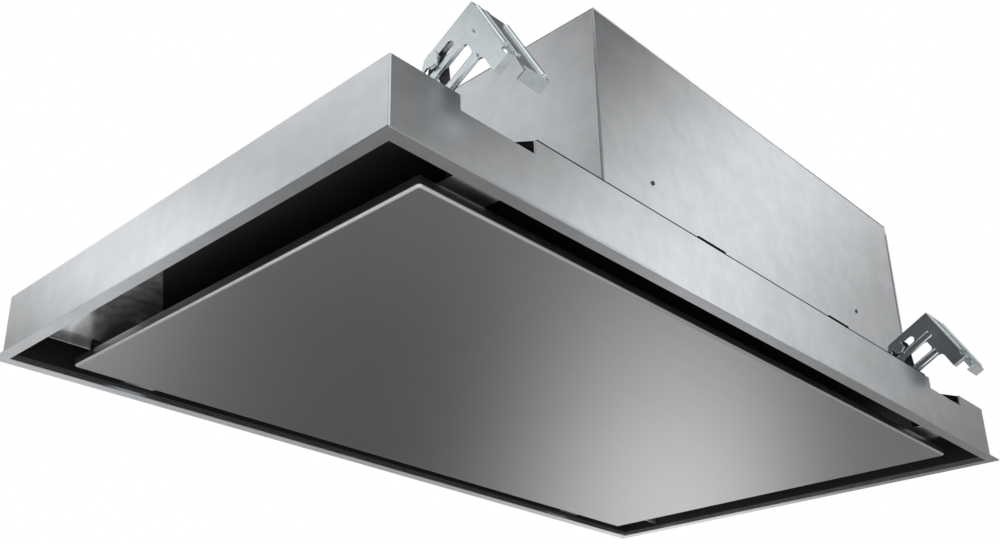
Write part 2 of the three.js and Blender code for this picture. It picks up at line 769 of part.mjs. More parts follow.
// Forward-curved blades in one ring on both sides of a hub disc.
function bladeShape() {
  const shape = new THREE.Shape();
  const steps = 4;
  const at = (share, offset) => {
    const radius = impellerInnerRadius + (impellerRadius - impellerInnerRadius) * share;
    const angle = bladeSweep * share * share;
    const across = angle + offset / radius;
    return [radius * Math.cos(across), radius * Math.sin(across)];
  };
  shape.moveTo(...at(0, 0));
  for (let i = 1; i <= steps; i++) shape.lineTo(...at(i / steps, 0));
  for (let i = steps; i >= 0; i--) shape.lineTo(...at(i / steps, bladeThickness));
  shape.closePath();
  return shape;
}

function buildImpeller() {
  const half = impellerWidth / 2;
  const blade = alongX(bladeShape(), -half, half);
  const blades = Array.from({ length: bladeCount }, (_, i) =>
    blade.clone().rotateX((2 * Math.PI * i) / bladeCount),
  );
  const hub = alongX(disc(0, 0, impellerRadius - bladeRing), -hubDisc / 2, hubDisc / 2, 18);
  const boss = alongX(disc(0, 0, bossRadius), -bossLength / 4, 0.75 * bossLength, 6);
  const ringShape = disc(0, 0, impellerRadius + 1);
  ringShape.holes.push(disc(0, 0, impellerRadius + 1 - bladeRing));
  const endRings = [-1, 1].map((end) => alongX(ringShape, ...span(0, half - bladeRingLength, half, end), 16));
  const bore = alongX(disc(0, 0, shaftRadius + shaftClearance), -bossLength, bossLength, 6);
  const group = new THREE.Group();
  group.position.set(boxCentre, blowerY, blowerAxisHeight);
  hood.add(group);
  place("impeller", cut(join(hub, boss, ...endRings, ...blades), bore), aluminium, group);
  const shaft = alongX(disc(0, 0, shaftRadius), seat - motorGap, bossLength, 6);
  place("fan_shaft", shaft, zincPlated, group);

  const motorStart = -motorGap - motorLength;
  const shoulder = motorGap + 4;
  const motorProfile = [
    [0, motorStart],
    [motorRadius - 8, motorStart],
    [motorRadius, motorStart + 6],
    [motorRadius, -shoulder - 4],
    [motorRadius - 5, -shoulder],
    [3 * shaftRadius, -shoulder],
    [3 * shaftRadius, -motorGap],
    [0, -motorGap],
  ];
  place("fan_motor", turnedAboutX(motorProfile, 28), motorPaint, group);

  // three arms from the motor's back to the outside of the left side plate
  const armX = motorStart - seat;
  const outerX = -scrollWidth / 2 - sheet - inletFlange - 3 * seat;
  const armStart = outerX - motorArmSheet;
  const halfArm = motorArmWidth / 2;
  const plate = alongX(disc(0, 0, motorRadius - 10), armStart, armX, 8);
  const arms = [0, 1, 2].map((i) =>
    block(armStart, outerX, -halfArm, halfArm, 0, inletRadius + 13).rotateX((2 * Math.PI * i) / 3),
  );
  place("motor_arms", join(plate, ...arms), zincPlated, group);
}

// ---- duct collar ----
function buildCollar() {
  const inner = collarRadius - collarWall;
  const profile = [
    [inner, 0],
    [collarRadius + collarFlange, 0],
    [collarRadius + collarFlange, collarFlangeSheet],
    [collarRadius, collarFlangeSheet],
    [collarRadius, collarBeadAt - 1.5 * collarBead],
    [collarRadius + collarBead, collarBeadAt - collarBead / 2],
    [collarRadius + collarBead, collarBeadAt + collarBead / 2],
    [collarRadius, collarBeadAt + 1.5 * collarBead],
    [collarRadius, collarLength],
    [inner, collarLength],
    [inner, 0],
  ];
  const group = new THREE.Group();
  group.position.set(boxCentre, motorBoxBack + seat, collarHeight);
  hood.add(group);
  const tube = turnedAboutY(profile, 36);
  place("duct_collar", tube, darkPlastic, group);

  const pinReach = inner - seat;
  const pin = alongZ(disc(0, flapPinOut, flapPinRadius), -pinReach, pinReach, 4);
  place("flap_pin", pin, zincPlated, group);

  const flapRadius = inner - flapClearance;
  const boreRadius = flapPinRadius + flapPinClearance;
  const knuckleRadius = boreRadius + flapKnuckleWall;
  const barrel = (z, radius, half) => alongZ(disc(0, flapPinOut, radius), z - half, z + half, 4);
  forSides(["left", "right"], (name, side) => {
    const heights = flapKnuckleHeights.map((z) => -side * z);
    const start = boreRadius + 0.1;
    const lean = Math.asin(start / flapRadius);
    const halfDisc = new THREE.Shape();
    halfDisc.absarc(0, 0, flapRadius, lean, Math.PI - lean);
    halfDisc.closePath();
    const leaf = alongY(halfDisc, flapPinOut - flapThickness / 2, flapPinOut + flapThickness / 2, 14);
    leaf.rotateY((side * Math.PI) / 2);
    const knuckles = heights.map((z) => barrel(z, knuckleRadius, flapKnuckle / 2));
    const rooms = heights.map((z) => barrel(-z, knuckleRadius + knuckleRoom, flapKnuckle / 2 + knuckleRoom));
    const bore = barrel(0, boreRadius, flapRadius);
    const flap = cut(join(cut(leaf, ...rooms), ...knuckles), bore);
    place("backdraft_flap_" + name, flap, darkPlastic, group);
  });
}

// ---- control box ----
function buildControls() {
  const x0 = controlLeft;
  const x1 = controlLeft + controlLength;
  const y0 = controlFront;
  const y1 = controlFront + controlWidth;
  const z0 = deckTop + ribHeight + seat;
  const z1 = z0 + controlHeight;
  const wall = controlWall;
  const glandY = (y0 + y1) / 2;
  const glandZ = z0 + controlHeight / 2;
  const neck = glandRadius - 2.4; // the gland's threaded neck in the wall
  const shell = block(x0, x1, y0, y1, z0, z1);
  const hollow = block(x0 + wall, x1 - wall, y0 + wall, y1 - wall, z0 + wall, z1 + 1);
  const inletHole = alongX(disc(glandY, glandZ, neck + 0.4), x0 - 1, x0 + wall + 1, 6);
  const feet = [x0 - controlFoot, x1].map((x) => block(x, x + controlFoot, y0 + 10, y1 - 10, z0, z0 + wall));
  place("control_box", cut(join(shell, ...feet), hollow, inletHole), darkPlastic);

  const lidBottom = z1 + seat;
  const lid = block(x0 - 1, x1 + 1, y0 - 1, y1 + 1, lidBottom, lidBottom + wall);
  const plugShape = (inset) => rectangle(x0 + inset, x1 - inset, y0 + inset, y1 - inset);
  const plug = plugShape(wall + seat);
  plug.holes.push(plugShape(2 * wall + seat));
  place("control_box_lid", join(lid, alongZ(plug, z1 - wall, lidBottom + wall / 2)), darkPlastic);

  const inset = boardInset;
  const foot = z0 + wall + seat;
  const boardZ = foot + boardStand;
  const partsZ = boardZ + boardThickness / 2;
  const board = block(x0 + inset, x1 - inset, y0 + inset, y1 - inset, boardZ, boardZ + boardThickness);
  const posts = [inset + 6, controlLength - inset - 10].flatMap((x) =>
    [inset + 6, controlWidth - inset - 10].map((y) =>
      block(x0 + x, x0 + x + 4, y0 + y, y0 + y + 4, foot, boardZ + boardThickness / 2),
    ),
  );
  const fitting = ([x, y], [length, width, height]) =>
    block(x0 + x, x0 + x + length, y0 + y, y0 + y + width, partsZ, partsZ + height);
  const relays = [0, 1, 2].map((i) => fitting([relayPlace[0], relayPlace[1] + i * relayPitch], relaySize));
  const terminal = fitting(terminalPlace, terminalSize);
  const fittings = [fitting(transformerPlace, transformerSize), ...relays, terminal];
  place("control_board", join(board, ...posts, ...fittings), whitePlastic);

  const glandProfile = [
    [glandBore, -glandLength],
    [glandRadius - 2, -glandLength],
    [glandRadius - 1, -glandLength + 2],
    [glandRadius - 1, -7],
    [glandRadius + 2, -7],
    [glandRadius + 2, -seat],
    [neck, -seat],
    [neck, wall + 5],
    [glandBore, wall + 5],
    [glandBore, -glandLength],
  ];
  const gland = place("cable_gland", turnedAboutX(glandProfile, 24), darkPlastic);
  gland.position.set(x0, glandY, glandZ);
}

// ---- ceiling brackets ----
// A bracket is drawn in its own plane: u runs from the apex along the slotted leg and v across it, towards
// the outer leg. toYZ turns a point of that plane into the stored position at the front of the hood.
const tilt = (bracketTilt * Math.PI) / 180;
const apexY = -bracketApexOut;

function toYZ(u, v) {
  return [
    apexY + u * Math.cos(tilt) - v * Math.sin(tilt),
    bracketApexHeight - u * Math.sin(tilt) - v * Math.cos(tilt),
  ];
}

const [pivotY, pivotZ] = toYZ(pivotAlong, slotEdge);

// in the bracket's plane, as u from, u to, and minus v from, minus v to
const legWindow = [outerLegWidth + 4, 49, -innerLegWidth + 9, -innerLegWidth + 21];
const legRibs = [
  [10, 54, -24.5, -19.5],
  [outerLegWidth + 2, 56, -innerLegWidth + 2, -innerLegWidth + 6],
];

// Puts a solid drawn with X across, Y as u and Z as minus v into the stored position.
function intoBracketPlane(geometry) {
  return geometry.rotateX(-tilt).translate(0, apexY, bracketApexHeight);
}

function bracketSidePlate() {
  const end = innerLegLength;
  const edge = -innerLegWidth;
  const corner = outerLegWidth + legFillet;
  const shape = new THREE.Shape();
  shape.moveTo(0, 0);
  shape.lineTo(end - legChamfer, 0);
  shape.lineTo(end, -legChamfer);
  shape.lineTo(end, edge + legRound);
  shape.absarc(end - legRound, edge + legRound, legRound, 0, -Math.PI / 2, true);
  shape.lineTo(corner, edge);
  shape.absarc(corner, edge - legFillet, legFillet, Math.PI / 2, Math.PI, false);
  shape.lineTo(outerLegWidth, -outerLegLength);
  shape.lineTo(0, -outerLegLength);
  shape.closePath();
  const half = slotWidth / 2;
  shape.holes.push(rectangle(slotStart, slotEnd, -slotEdge - half, -slotEdge + half, half - 0.01));
  shape.holes.push(rectangle(...legWindow, 3));
  return shape;
}

function buildBracket(name, group) {
  const plateX = bracketOffset;
  const farX = plateX + webWidth;
  const webEnd = -outerLegLength - webOverrun;
  const plate = alongX(bracketSidePlate(), plateX, plateX + bracketSheet, 4);
  const ribs = legRibs.map(([u0, u1, v0, v1]) =>
    alongX(rectangle(u0, u1, v0, v1, (v1 - v0) / 2 - 0.1), plateX - legRib, plateX + bracketSheet / 2, 3),
  );
  const web = alongX(rectangle(0, bracketSheet, webEnd, 0), plateX, farX);
  const webStep = alongX(
    rectangle(-1, bracketSheet + 1, webEnd - 1, -outerLegLength + 8),
    plateX - 1,
    plateX + webWidth / 3,
  );
  const webRib = alongX(rectangle(-legRib, 0.5, -outerLegLength + 6, -5), plateX + 9, plateX + 14);
  const farFlange = alongX(rectangle(0, webFlange, webEnd, -14), farX - bracketSheet, farX);
  const foot = alongX(rectangle(0, webFoot, webEnd, webEnd + bracketSheet), plateX + 14, farX);
  const plateTab = alongX(
    rectangle(0, outerLegWidth, -outerLegLength, -outerLegLength + bracketSheet),
    plateX,
    plateX + 7,
  );
  const bracket = join(cut(join(plate, web), webStep), ...ribs, webRib, farFlange, foot, plateTab);
  place("ceiling_bracket_" + name, intoBracketPlane(bracket), zincPlated, group);
}

function buildPivot(name, group) {
  const plateX = bracketOffset;
  const washerX = plateX - legRib - seat;
  const earX = plateX + bracketSheet + seat;
  const nutX = earX + sheet + seat;
  const hexagon = (across, x0, x1) => alongX(disc(pivotY, pivotZ, across / 2), x0, x1, 3);
  const shank = alongX(disc(pivotY, pivotZ, boltRadius), washerX - 1, nutX + 1, 5);
  const head = hexagon(boltHead, washerX - boltHeadLength, washerX);
  const nut = hexagon(boltNut, nutX, nutX + boltNutLength);
  place("bracket_bolt_" + name, join(shank, head, nut), zincPlated, group);

  // the holder: a well below the deck, with an ear that carries the pivot bolt
  const half = notchLength / 2;
  const outerY = -innerY + seat;
  const innerFace = -(casingY - wellDepth);
  const low = wellFloorHeight;
  const floor = block(-half - sheet, half + sheet, outerY, innerFace + sheet, low, low + sheet);
  const inner = innerFace + sheet;
  const sides = [-half - sheet, half].map((x) => block(x, x + sheet, outerY, inner, low, deckTop));
  const backWall = block(-half - sheet, half + sheet, innerFace, innerFace + sheet, low, deckTop);
  const footZ = low + sheet / 2;
  const earShape = new THREE.Shape();
  earShape.absarc(pivotY, pivotZ, earRadius, 0, Math.PI, false);
  earShape.lineTo(pivotY - earRadius - earSpread[0], footZ);
  earShape.lineTo(pivotY + earRadius + earSpread[1], footZ);
  earShape.closePath();
  const ear = alongX(earShape, earX, earX + sheet, 5);
  const earHole = alongX(disc(pivotY, pivotZ, boltRadius + seat), earX - 1, earX + sheet + 1, 5);
  const earBase = block(earX, earX + 16, pivotY - earRadius, pivotY + earRadius, footZ, low + 2 * sheet);
  const well = join(floor, ...sides, backWall, ear, earBase);
  place("bracket_holder_" + name, cut(well, earHole), galvanised, group);
}

function buildBrackets() {
  for (const [name, sideX, sideY] of corners) {
    const group = new THREE.Group();
    // the back pair is the front pair turned half a turn about the hood's middle
    group.position.x = sideX * notchCentre;
    if (sideY > 0) group.rotation.z = Math.PI;
    hood.add(group);
    buildBracket(name, group);
    buildPivot(name, group);
  }
}

buildCasing();
buildDeck();
buildAirGuide();
buildDeflectors();
buildFilterHolder();
buildFilters();
buildPanel();
buildHinges();
buildCatches();
buildMotorBox();
buildScroll();
buildImpeller();
buildCollar();
buildControls();
buildBrackets();

export default hood;
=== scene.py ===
import math

import bmesh
import bpy
from mathutils import Matrix, Vector


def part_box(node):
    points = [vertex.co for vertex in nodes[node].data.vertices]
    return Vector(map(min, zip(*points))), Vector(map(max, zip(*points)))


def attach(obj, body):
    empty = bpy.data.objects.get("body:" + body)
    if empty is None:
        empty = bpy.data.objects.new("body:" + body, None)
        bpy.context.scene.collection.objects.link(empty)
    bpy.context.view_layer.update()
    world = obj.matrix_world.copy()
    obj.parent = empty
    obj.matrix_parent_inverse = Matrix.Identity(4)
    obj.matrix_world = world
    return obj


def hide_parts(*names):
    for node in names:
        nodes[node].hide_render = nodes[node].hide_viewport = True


# A ceiling range hood seen from below: folded galvanised casing, hinged stainless panel, motor box on the
# deck, zinc-plated ceiling brackets. Metres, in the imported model's frame.

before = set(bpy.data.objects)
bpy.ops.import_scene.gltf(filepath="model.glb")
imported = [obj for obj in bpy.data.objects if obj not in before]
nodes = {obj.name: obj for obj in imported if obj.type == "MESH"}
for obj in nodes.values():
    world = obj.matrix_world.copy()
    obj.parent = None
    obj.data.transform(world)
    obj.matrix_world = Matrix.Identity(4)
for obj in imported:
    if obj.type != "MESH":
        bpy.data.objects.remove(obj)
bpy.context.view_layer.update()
mm = 0.001
corners = ["front_left", "front_right", "back_left", "back_right"]


# shader maths
class Value:
    def __init__(self, shader, socket):
        self.shader = shader
        self.socket = socket

    def maths(self, operation, *others):
        inputs = dict(enumerate([self, *others]))
        return self.shader.node("ShaderNodeMath", {"operation": operation}, inputs)

    def __add__(self, other):
        return self.maths("ADD", other)

    def __mul__(self, other):
        return self.maths("MULTIPLY", other)

    def __sub__(self, other):
        return self.maths("SUBTRACT", other)

    def __truediv__(self, other):
        return self.maths("DIVIDE", other)

    def __rsub__(self, other):
        return (self * -1) + other

    __radd__ = __add__
    __rmul__ = __mul__


class Shader:
    def __init__(self, tree):
        self.tree = tree

    def node(self, kind, settings=None, inputs=None, output=0):
        made = self.tree.nodes.new(kind)
        for name, value in (settings or {}).items():
            setattr(made, name, value)
        for key, value in (inputs or {}).items():
            socket = made.inputs[key]
            if isinstance(value, Value):
                self.tree.links.new(value.socket, socket)
            else:
                socket.default_value = value
        return Value(self, made.outputs[output])

    def place(self, scale=(1, 1, 1)):
        point = self.node("ShaderNodeTexCoord", output="Object")
        return self.node("ShaderNodeMapping", None, {"Vector": point, "Scale": scale})

    def noise(self, size, detail, scale=(1, 1, 1), roughness=0.5):
        inputs = {"Vector": self.place(scale), "Scale": 1 / size, "Detail": detail, "Roughness": roughness}
        return self.node("ShaderNodeTexNoise", None, inputs)

    def tint(self, factor, first, second):
        inputs = {0: factor, 6: (*first, 1), 7: (*second, 1)}
        return self.node("ShaderNodeMix", {"data_type": "RGBA", "clamp_factor": True}, inputs, 2)

    def between(self, value, low, high, start=0.0, end=1.0):
        inputs = {"Value": value, "From Min": low, "From Max": high, "To Min": start, "To Max": end}
        return self.node("ShaderNodeMapRange", {"interpolation_type": "SMOOTHSTEP"}, inputs)


def newMaterial(name, look):
    material = bpy.data.materials.new(name)
    material.use_nodes = True
    shader = Shader(material.node_tree)
    surface = material.node_tree.nodes["Principled BSDF"]
    for socket, value in look(shader).items():
        if isinstance(value, Value):
            material.node_tree.links.new(value.socket, surface.inputs[socket])
        else:
            surface.inputs[socket].default_value = value
    return material


def bumpFrom(shader, height, distance, strength):
    return shader.node("ShaderNodeBump", None, {"Height": height, "Distance": distance, "Strength": strength})


# the lighter and the darker tone of each zinc coat, and the size of its crystals
sheetLooks = {
    "galvanised": dict(
        light=(0.765, 0.785, 0.805), dark=(0.67, 0.69, 0.71), spangle=11 * mm, roughness=0.279, uneven=0.1,
        hemDull=0.55, hem=(0.3 * mm, 1.0 * mm), hemDepth=(-0.25, 0.25)),
    "innerSheet": dict(
        light=(0.64, 0.65, 0.66), dark=(0.55, 0.56, 0.57), spangle=11 * mm, roughness=0.295, uneven=0.3),
    "zinc": dict(
        light=(0.80, 0.85, 0.87), dark=(0.66, 0.72, 0.75), spangle=6 * mm, roughness=0.24, uneven=0.4),
}
zincGrain = {"cloud": 0.045, "rolled": 0.02, "rolledWay": (0.1, 0.1, 1), "tones": (0.3, 0.7),
             "bump": 0.00002, "bumpStrength": 0.15}


# a zinc coat: a slow cloud, soft crystals without borders, and the faint streaks of rolling. The casing's
# rolled hem is less metallic at its underside towards the back, which makes it read lighter there
def zincCoat(light, dark, spangle, roughness, uneven, hemDull=0.0, hem=(0, 1), hemDepth=(0, 1)):
    def look(shader):
        crystal = shader.noise(spangle, 1.0, (1, 1, 1), 0.3)
        cloud = shader.noise(zincGrain["cloud"], 3.0)
        rolled = shader.noise(zincGrain["rolled"], 1.0, zincGrain["rolledWay"])
        mix = shader.between(crystal * 0.3 + cloud * 0.5 + rolled * 0.2, *zincGrain["tones"])
        metallic = 1.0
        if hemDull:
            depth = shader.node("ShaderNodeSeparateXYZ", None, {"Vector": shader.place()}, "Y")
            height = shader.node("ShaderNodeSeparateXYZ", None, {"Vector": shader.place()}, "Z")
            metallic = 1 - (1 - shader.between(height, *hem)) * shader.between(depth, *hemDepth) * hemDull
        return {
            "Base Color": shader.tint(mix, dark, light),
            "Metallic": metallic,
            "Roughness": (crystal * 0.07 + cloud * 0.08 + rolled * 0.05 - 0.1) * uneven + roughness,
            "Normal": bumpFrom(shader, cloud, zincGrain["bump"], zincGrain["bumpStrength"]),
        }
    return look


# light and dark tones of the deflectors' painted reflection streaks
paintedStreaks = {"light": (0.66, 0.67, 0.68), "dark": (0.30, 0.31, 0.32), "roughness": 0.34, "metallic": 0.85,
         "streak": 0.012, "streakWay": (1, 1, 0.06), "cloud": 0.05, "tones": (0.34, 0.66),
         "bump": 0.00012, "bumpStrength": 0.35}


# pressed sheet, its colour drawn out in light and dark streaks that run upwards: painted reflection of the
# surroundings in its upright faces. The same streaks vary its roughness and bump
def paintedReflectionSheet(shader):
    streak = shader.noise(paintedStreaks["streak"], 2.0, paintedStreaks["streakWay"])
    cloud = shader.noise(paintedStreaks["cloud"], 2.0)
    mix = shader.between(streak * 0.7 + cloud * 0.3, *paintedStreaks["tones"])
    return {
        "Base Color": shader.tint(mix, paintedStreaks["dark"], paintedStreaks["light"]),
        "Metallic": paintedStreaks["metallic"],
        "Roughness": streak * 0.14 + cloud * 0.06 + (paintedStreaks["roughness"] - 0.1),
        "Normal": bumpFrom(shader, streak, paintedStreaks["bump"], paintedStreaks["bumpStrength"]),
    }


knit = {"light": (0.72, 0.73, 0.74), "dark": (0.1, 0.1, 0.1), "pitch": 1.6 * mm, "roughness": 0.32,
        "wavesPerPitch": 0.314, "distortion": 1.2, "wire": (0.35, 0.85), "bump": 0.0004, "bumpStrength": 0.7}


# knitted metal: two crossed waves leave small dark holes
def knitted(shader):
    waves = [
        shader.node("ShaderNodeTexWave", {"bands_direction": way}, {
            "Vector": shader.place(), "Scale": knit["wavesPerPitch"] / knit["pitch"],
            "Distortion": knit["distortion"], "Detail": 1.0}, "Fac")
        for way in ("X", "Y")
    ]
    wire = shader.between(waves[0].maths("MAXIMUM", waves[1]), *knit["wire"])
    return {
        "Base Color": shader.tint(wire, knit["dark"], knit["light"]),
        "Metallic": 1.0,
        "Roughness": knit["roughness"] + 0.15 * (1 - wire),
        "Normal": bumpFrom(shader, wire, knit["bump"], knit["bumpStrength"]),
    }


brushings = {
    "stainless": dict(light=(0.595, 0.595, 0.595), dark=(0.575, 0.575, 0.575), roughness=0.2815,
                      along=(0.02, 1, 1), depth=0.012, uneven=0.008),
    "aluminium": dict(light=(0.78, 0.79, 0.8), dark=(0.62, 0.63, 0.64), roughness=0.34,
                      along=(1, 0.05, 1), depth=0.6, uneven=0.08),
}
brushGrain = {"streak": 0.0011, "wide": 0.012, "cloud": 0.3, "tones": (0.25, 0.75), "bump": 0.00001}


# fine streaks drawn out along one axis, which also tilt the surface a little
def brushed(light, dark, roughness, along, depth, uneven):
    def look(shader):
        streak = shader.noise(brushGrain["streak"], 3.0, along, 0.7)
        wide = shader.noise(brushGrain["wide"], 2.0, along)
        cloud = shader.noise(brushGrain["cloud"], 1.0)
        grain = streak * 0.6 + wide * 0.4
        return {
            "Base Color": shader.tint(shader.between(grain, *brushGrain["tones"]), dark, light),
            "Metallic": 1.0,
            "Roughness": grain * uneven + cloud * 0.02 + (roughness - 0.01 - uneven / 2),
            "Normal": bumpFrom(shader, streak, brushGrain["bump"], depth),
        }
    return look


coatings = {
    "enamelAndShade": dict(tone=(0.012, 0.012, 0.014), roughness=0.42, grain=0.0012, depth=0.00003),
    "plastic": dict(tone=(0.022, 0.022, 0.024), roughness=0.5, grain=0.0007, depth=0.00004),
    "foamAndShade": dict(tone=(0.008, 0.008, 0.008), roughness=0.88, grain=0.0009, depth=0.0002, sheen=0.04),
    "motor": dict(tone=(0.09, 0.1, 0.11), roughness=0.45, grain=0.0025, depth=0.00008, metallic=0.4),
}
coatGrain = {"cloud": 0.08, "darker": 0.75, "bumpStrength": 0.6}


# paint, plastic and foam: an even tone with a fine grain. The black enamel is also painted shade on the
# bracket holders, and the black foam on the wells' closing sheets and the rim's thin strip
def coated(tone, roughness, grain, depth, metallic=0.0, sheen=0.5):
    def look(shader):
        texture = shader.noise(grain, 3.0)
        cloud = shader.noise(coatGrain["cloud"], 2.0)
        darker = [channel * coatGrain["darker"] for channel in tone]
        return {
            "Base Color": shader.tint(texture * 0.4 + cloud * 0.6, darker, tone),
            "Metallic": metallic,
            "Specular IOR Level": sheen,
            "Roughness": texture * 0.12 + cloud * 0.1 + (roughness - 0.11),
            "Normal": bumpFrom(shader, texture, depth, coatGrain["bumpStrength"]),
        }
    return look


lacquer = {"ground": (0.03, 0.16, 0.07), "track": (0.09, 0.3, 0.13), "rows": 90.0, "gap": 0.06, "soft": 0.2,
           "speck": 0.004, "roughness": 0.28, "bump": 0.00006, "bumpStrength": 0.5}


# copper tracks under green lacquer
def lacquered(shader):
    tracks = shader.node("ShaderNodeTexBrick", None, {
        "Vector": shader.place(), "Scale": lacquer["rows"], "Mortar Size": lacquer["gap"],
        "Mortar Smooth": lacquer["soft"]}, "Fac")
    speck = shader.noise(lacquer["speck"], 2.0)
    return {
        "Base Color": shader.tint(tracks, lacquer["ground"], lacquer["track"]),
        "Roughness": speck * 0.15 + lacquer["roughness"],
        "Normal": bumpFrom(shader, tracks, lacquer["bump"], lacquer["bumpStrength"]),
    }


finishes = {
    "galvanised": newMaterial("galvanisedSheet", zincCoat(**sheetLooks["galvanised"])),
    "innerSheet": newMaterial("innerSheet", zincCoat(**sheetLooks["innerSheet"])),
    "bright": newMaterial("paintedReflectionSheet", paintedReflectionSheet),
    "zinc": newMaterial("zincPlate", zincCoat(**sheetLooks["zinc"])),
    "stainless": newMaterial("brushedStainless", brushed(**brushings["stainless"])),
    "aluminium": newMaterial("bareAluminium", brushed(**brushings["aluminium"])),
    "filterMesh": newMaterial("knittedAluminium", knitted),
    "enamelAndShade": newMaterial("blackEnamelAndShade", coated(**coatings["enamelAndShade"])),
    "plastic": newMaterial("blackPlastic", coated(**coatings["plastic"])),
    "foamAndShade": newMaterial("blackFoamAndShade", coated(**coatings["foamAndShade"])),
    "motor": newMaterial("motorPaint", coated(**coatings["motor"])),
    "board": newMaterial("boardLacquer", lacquered),
}
print("materials made:", len(finishes))


# pieces
def settle(name, mesh, finish, body, replaced=()):
    piece = bpy.data.objects.new(name, mesh)
    bpy.context.scene.collection.objects.link(piece)
    mesh.materials.clear()
    mesh.materials.append(finishes[finish])
    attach(piece, body)
    if replaced:
        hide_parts(*replaced)


def asMesh(name, shape, smooth=None):
    mesh = bpy.data.meshes.new(name)
    shape.to_mesh(mesh)
    shape.free()
    if smooth is not None:
        mesh.shade_smooth()
        mesh.set_sharp_from_angle(angle=math.radians(smooth))
    return mesh


def addBlock(shape, low, high):
    middle = [(a + b) / 2 for a, b in zip(low, high)]
    size = [b - a for a, b in zip(low, high)]
    matrix = Matrix.Translation(middle) @ Matrix.Diagonal((*size, 1))
    bmesh.ops.create_cube(shape, size=1, matrix=matrix)


# every edge of the shape, or the chosen ones, which then never eat into each other
def roundEdges(shape, width, segments, chosen=None):
    every = chosen is None
    bmesh.ops.bevel(shape, geom=shape.edges[:] if every else chosen, offset=width, segments=segments,
                    profile=0.5, affect="EDGES", clamp_overlap=not every)


# weld in metres, angles between faces in radians: up to "flat" two faces are one, between "facet" and "sharp"
# lies a step of a curve, and above "corner" a full fold. "narrow" counts widths of the eased edge. "plain",
# "fine" and "wide" are the segments across an edge
easing = {"weld": 2e-6, "flat": math.radians(0.6), "facet": math.radians(2), "sharp": math.radians(35),
          "corner": 1, "narrow": 1.2, "plain": 1, "fine": 2, "wide": 4}


def foldAngle(edge):
    return edge.calc_face_angle() if len(edge.link_faces) == 2 else 0


def cleanCopy(node):
    shape = bmesh.new()
    shape.from_mesh(nodes[node].data)
    bmesh.ops.remove_doubles(shape, verts=shape.verts, dist=easing["weld"])
    bmesh.ops.dissolve_limit(shape, angle_limit=easing["flat"], verts=shape.verts, edges=shape.edges,
                             use_dissolve_boundaries=False)
    return shape


# folds and curved runs of facets are shaded smooth, flat sheet stays flat
def markCurves(shape):
    for face in shape.faces:
        face.smooth = sum(easing["facet"] < foldAngle(e) < easing["sharp"] for e in face.edges) > 1


def markNarrow(shape, narrow, limit):
    for face in shape.faces:
        if face.calc_area() / face.calc_perimeter() < narrow / 2:
            face.smooth = True
    for edge in shape.edges:
        edge.smooth = len(edge.link_faces) == 2 and edge.calc_face_angle() < limit


# a copy of a CAD node with its edges eased, and chosen folds eased more. It then stands for the node
def ease(node, finish, body, width, segments=easing["plain"], chosen=None, chosenWidth=0.0):
    shape = cleanCopy(node)
    markCurves(shape)
    if chosen:
        folds = [e for e in shape.edges if foldAngle(e) > easing["corner"] and chosen(e)]
        roundEdges(shape, chosenWidth, easing["wide"], folds)
    roundEdges(shape, width, segments, [e for e in shape.edges if foldAngle(e) > easing["sharp"]])
    markNarrow(shape, easing["narrow"] * max(width, chosenWidth), easing["sharp"])
    settle(node + "_look", asMesh(node + "_eased", shape), finish, body, [node])


# a turned piece: (radius, along) points swept about the Z axis
def turned(profile, segments):
    shape = bmesh.new()
    rings = []
    for radius, along in profile:
        angles = [2 * math.pi * i / segments for i in range(segments if radius > 0 else 1)]
        rings.append([shape.verts.new((radius * math.cos(a), radius * math.sin(a), along)) for a in angles])
    for first, second in zip(rings, rings[1:]):
        for i in range(segments):
            j = (i + 1) % segments
            a, b = first[i % len(first)], first[j % len(first)]
            c, d = second[j % len(second)], second[i % len(second)]
            corner = list(dict.fromkeys([a, b, c, d]))
            if len(corner) > 2:
                shape.faces.new(corner)
    bmesh.ops.recalc_face_normals(shape, faces=shape.faces)
    return shape


# heads as shares of their radius and height: a pan-head screw with a drive recess, and a rivet
heads = {
    "screw": dict(
        segments=16, profile=[(0, 0.45), (0.315, 0.45), (0.42, 0.98), (0.72, 1), (0.93, 0.72), (1, 0.3)]),
    "rivet": dict(segments=14, profile=[(0, 1), (0.5, 0.93), (0.86, 0.55), (1, 0)]),
}
headSink = 0.0002


# a head facing up, its foot sunk a little into the sheet
def headShape(kind, radius, height):
    profile = [(radius * share, height * rise) for share, rise in heads[kind]["profile"]]
    return turned(profile + [(radius, -headSink), (0, -headSink)], heads[kind]["segments"])


# geometry nodes
def newTree(name, inputs):
    tree = bpy.data.node_groups.new(name, "GeometryNodeTree")
    for label, kind in {"Geometry": "NodeSocketGeometry", **inputs}.items():
        tree.interface.new_socket(label, in_out="INPUT", socket_type=kind)
    tree.interface.new_socket("Geometry", in_out="OUTPUT", socket_type="NodeSocketGeometry")
    build = Shader(tree)
    source = tree.nodes.new("NodeGroupInput")
    return tree, build, [Value(build, source.outputs[label]) for label in ("Geometry", *inputs)]


# copies of a pattern on the given points, made real
def closeTree(tree, build, pattern, placing):
    shape = build.node("GeometryNodeObjectInfo", None, {"Object": pattern}, "Geometry")
    copies = build.node("GeometryNodeInstanceOnPoints", None, {"Instance": shape, **placing})
    real = build.node("GeometryNodeRealizeInstances", None, {"Geometry": copies})
    out = tree.nodes.new("NodeGroupOutput")
    tree.links.new(real.socket, out.inputs[0])
    return tree


# copies of one pattern on the points of a mesh, each turned to its point's aim
def scatterTree():
    tree, build, (points, pattern) = newTree("copiesOnPoints", {"Pattern": "NodeSocketObject"})
    aim = build.node("GeometryNodeInputNamedAttribute", {"data_type": "FLOAT_VECTOR"}, {"Name": "aim"})
    turn = build.node("FunctionNodeAlignRotationToVector", {"axis": "Z"}, {"Vector": aim})
    return closeTree(tree, build, pattern, {"Points": points, "Rotation": turn})


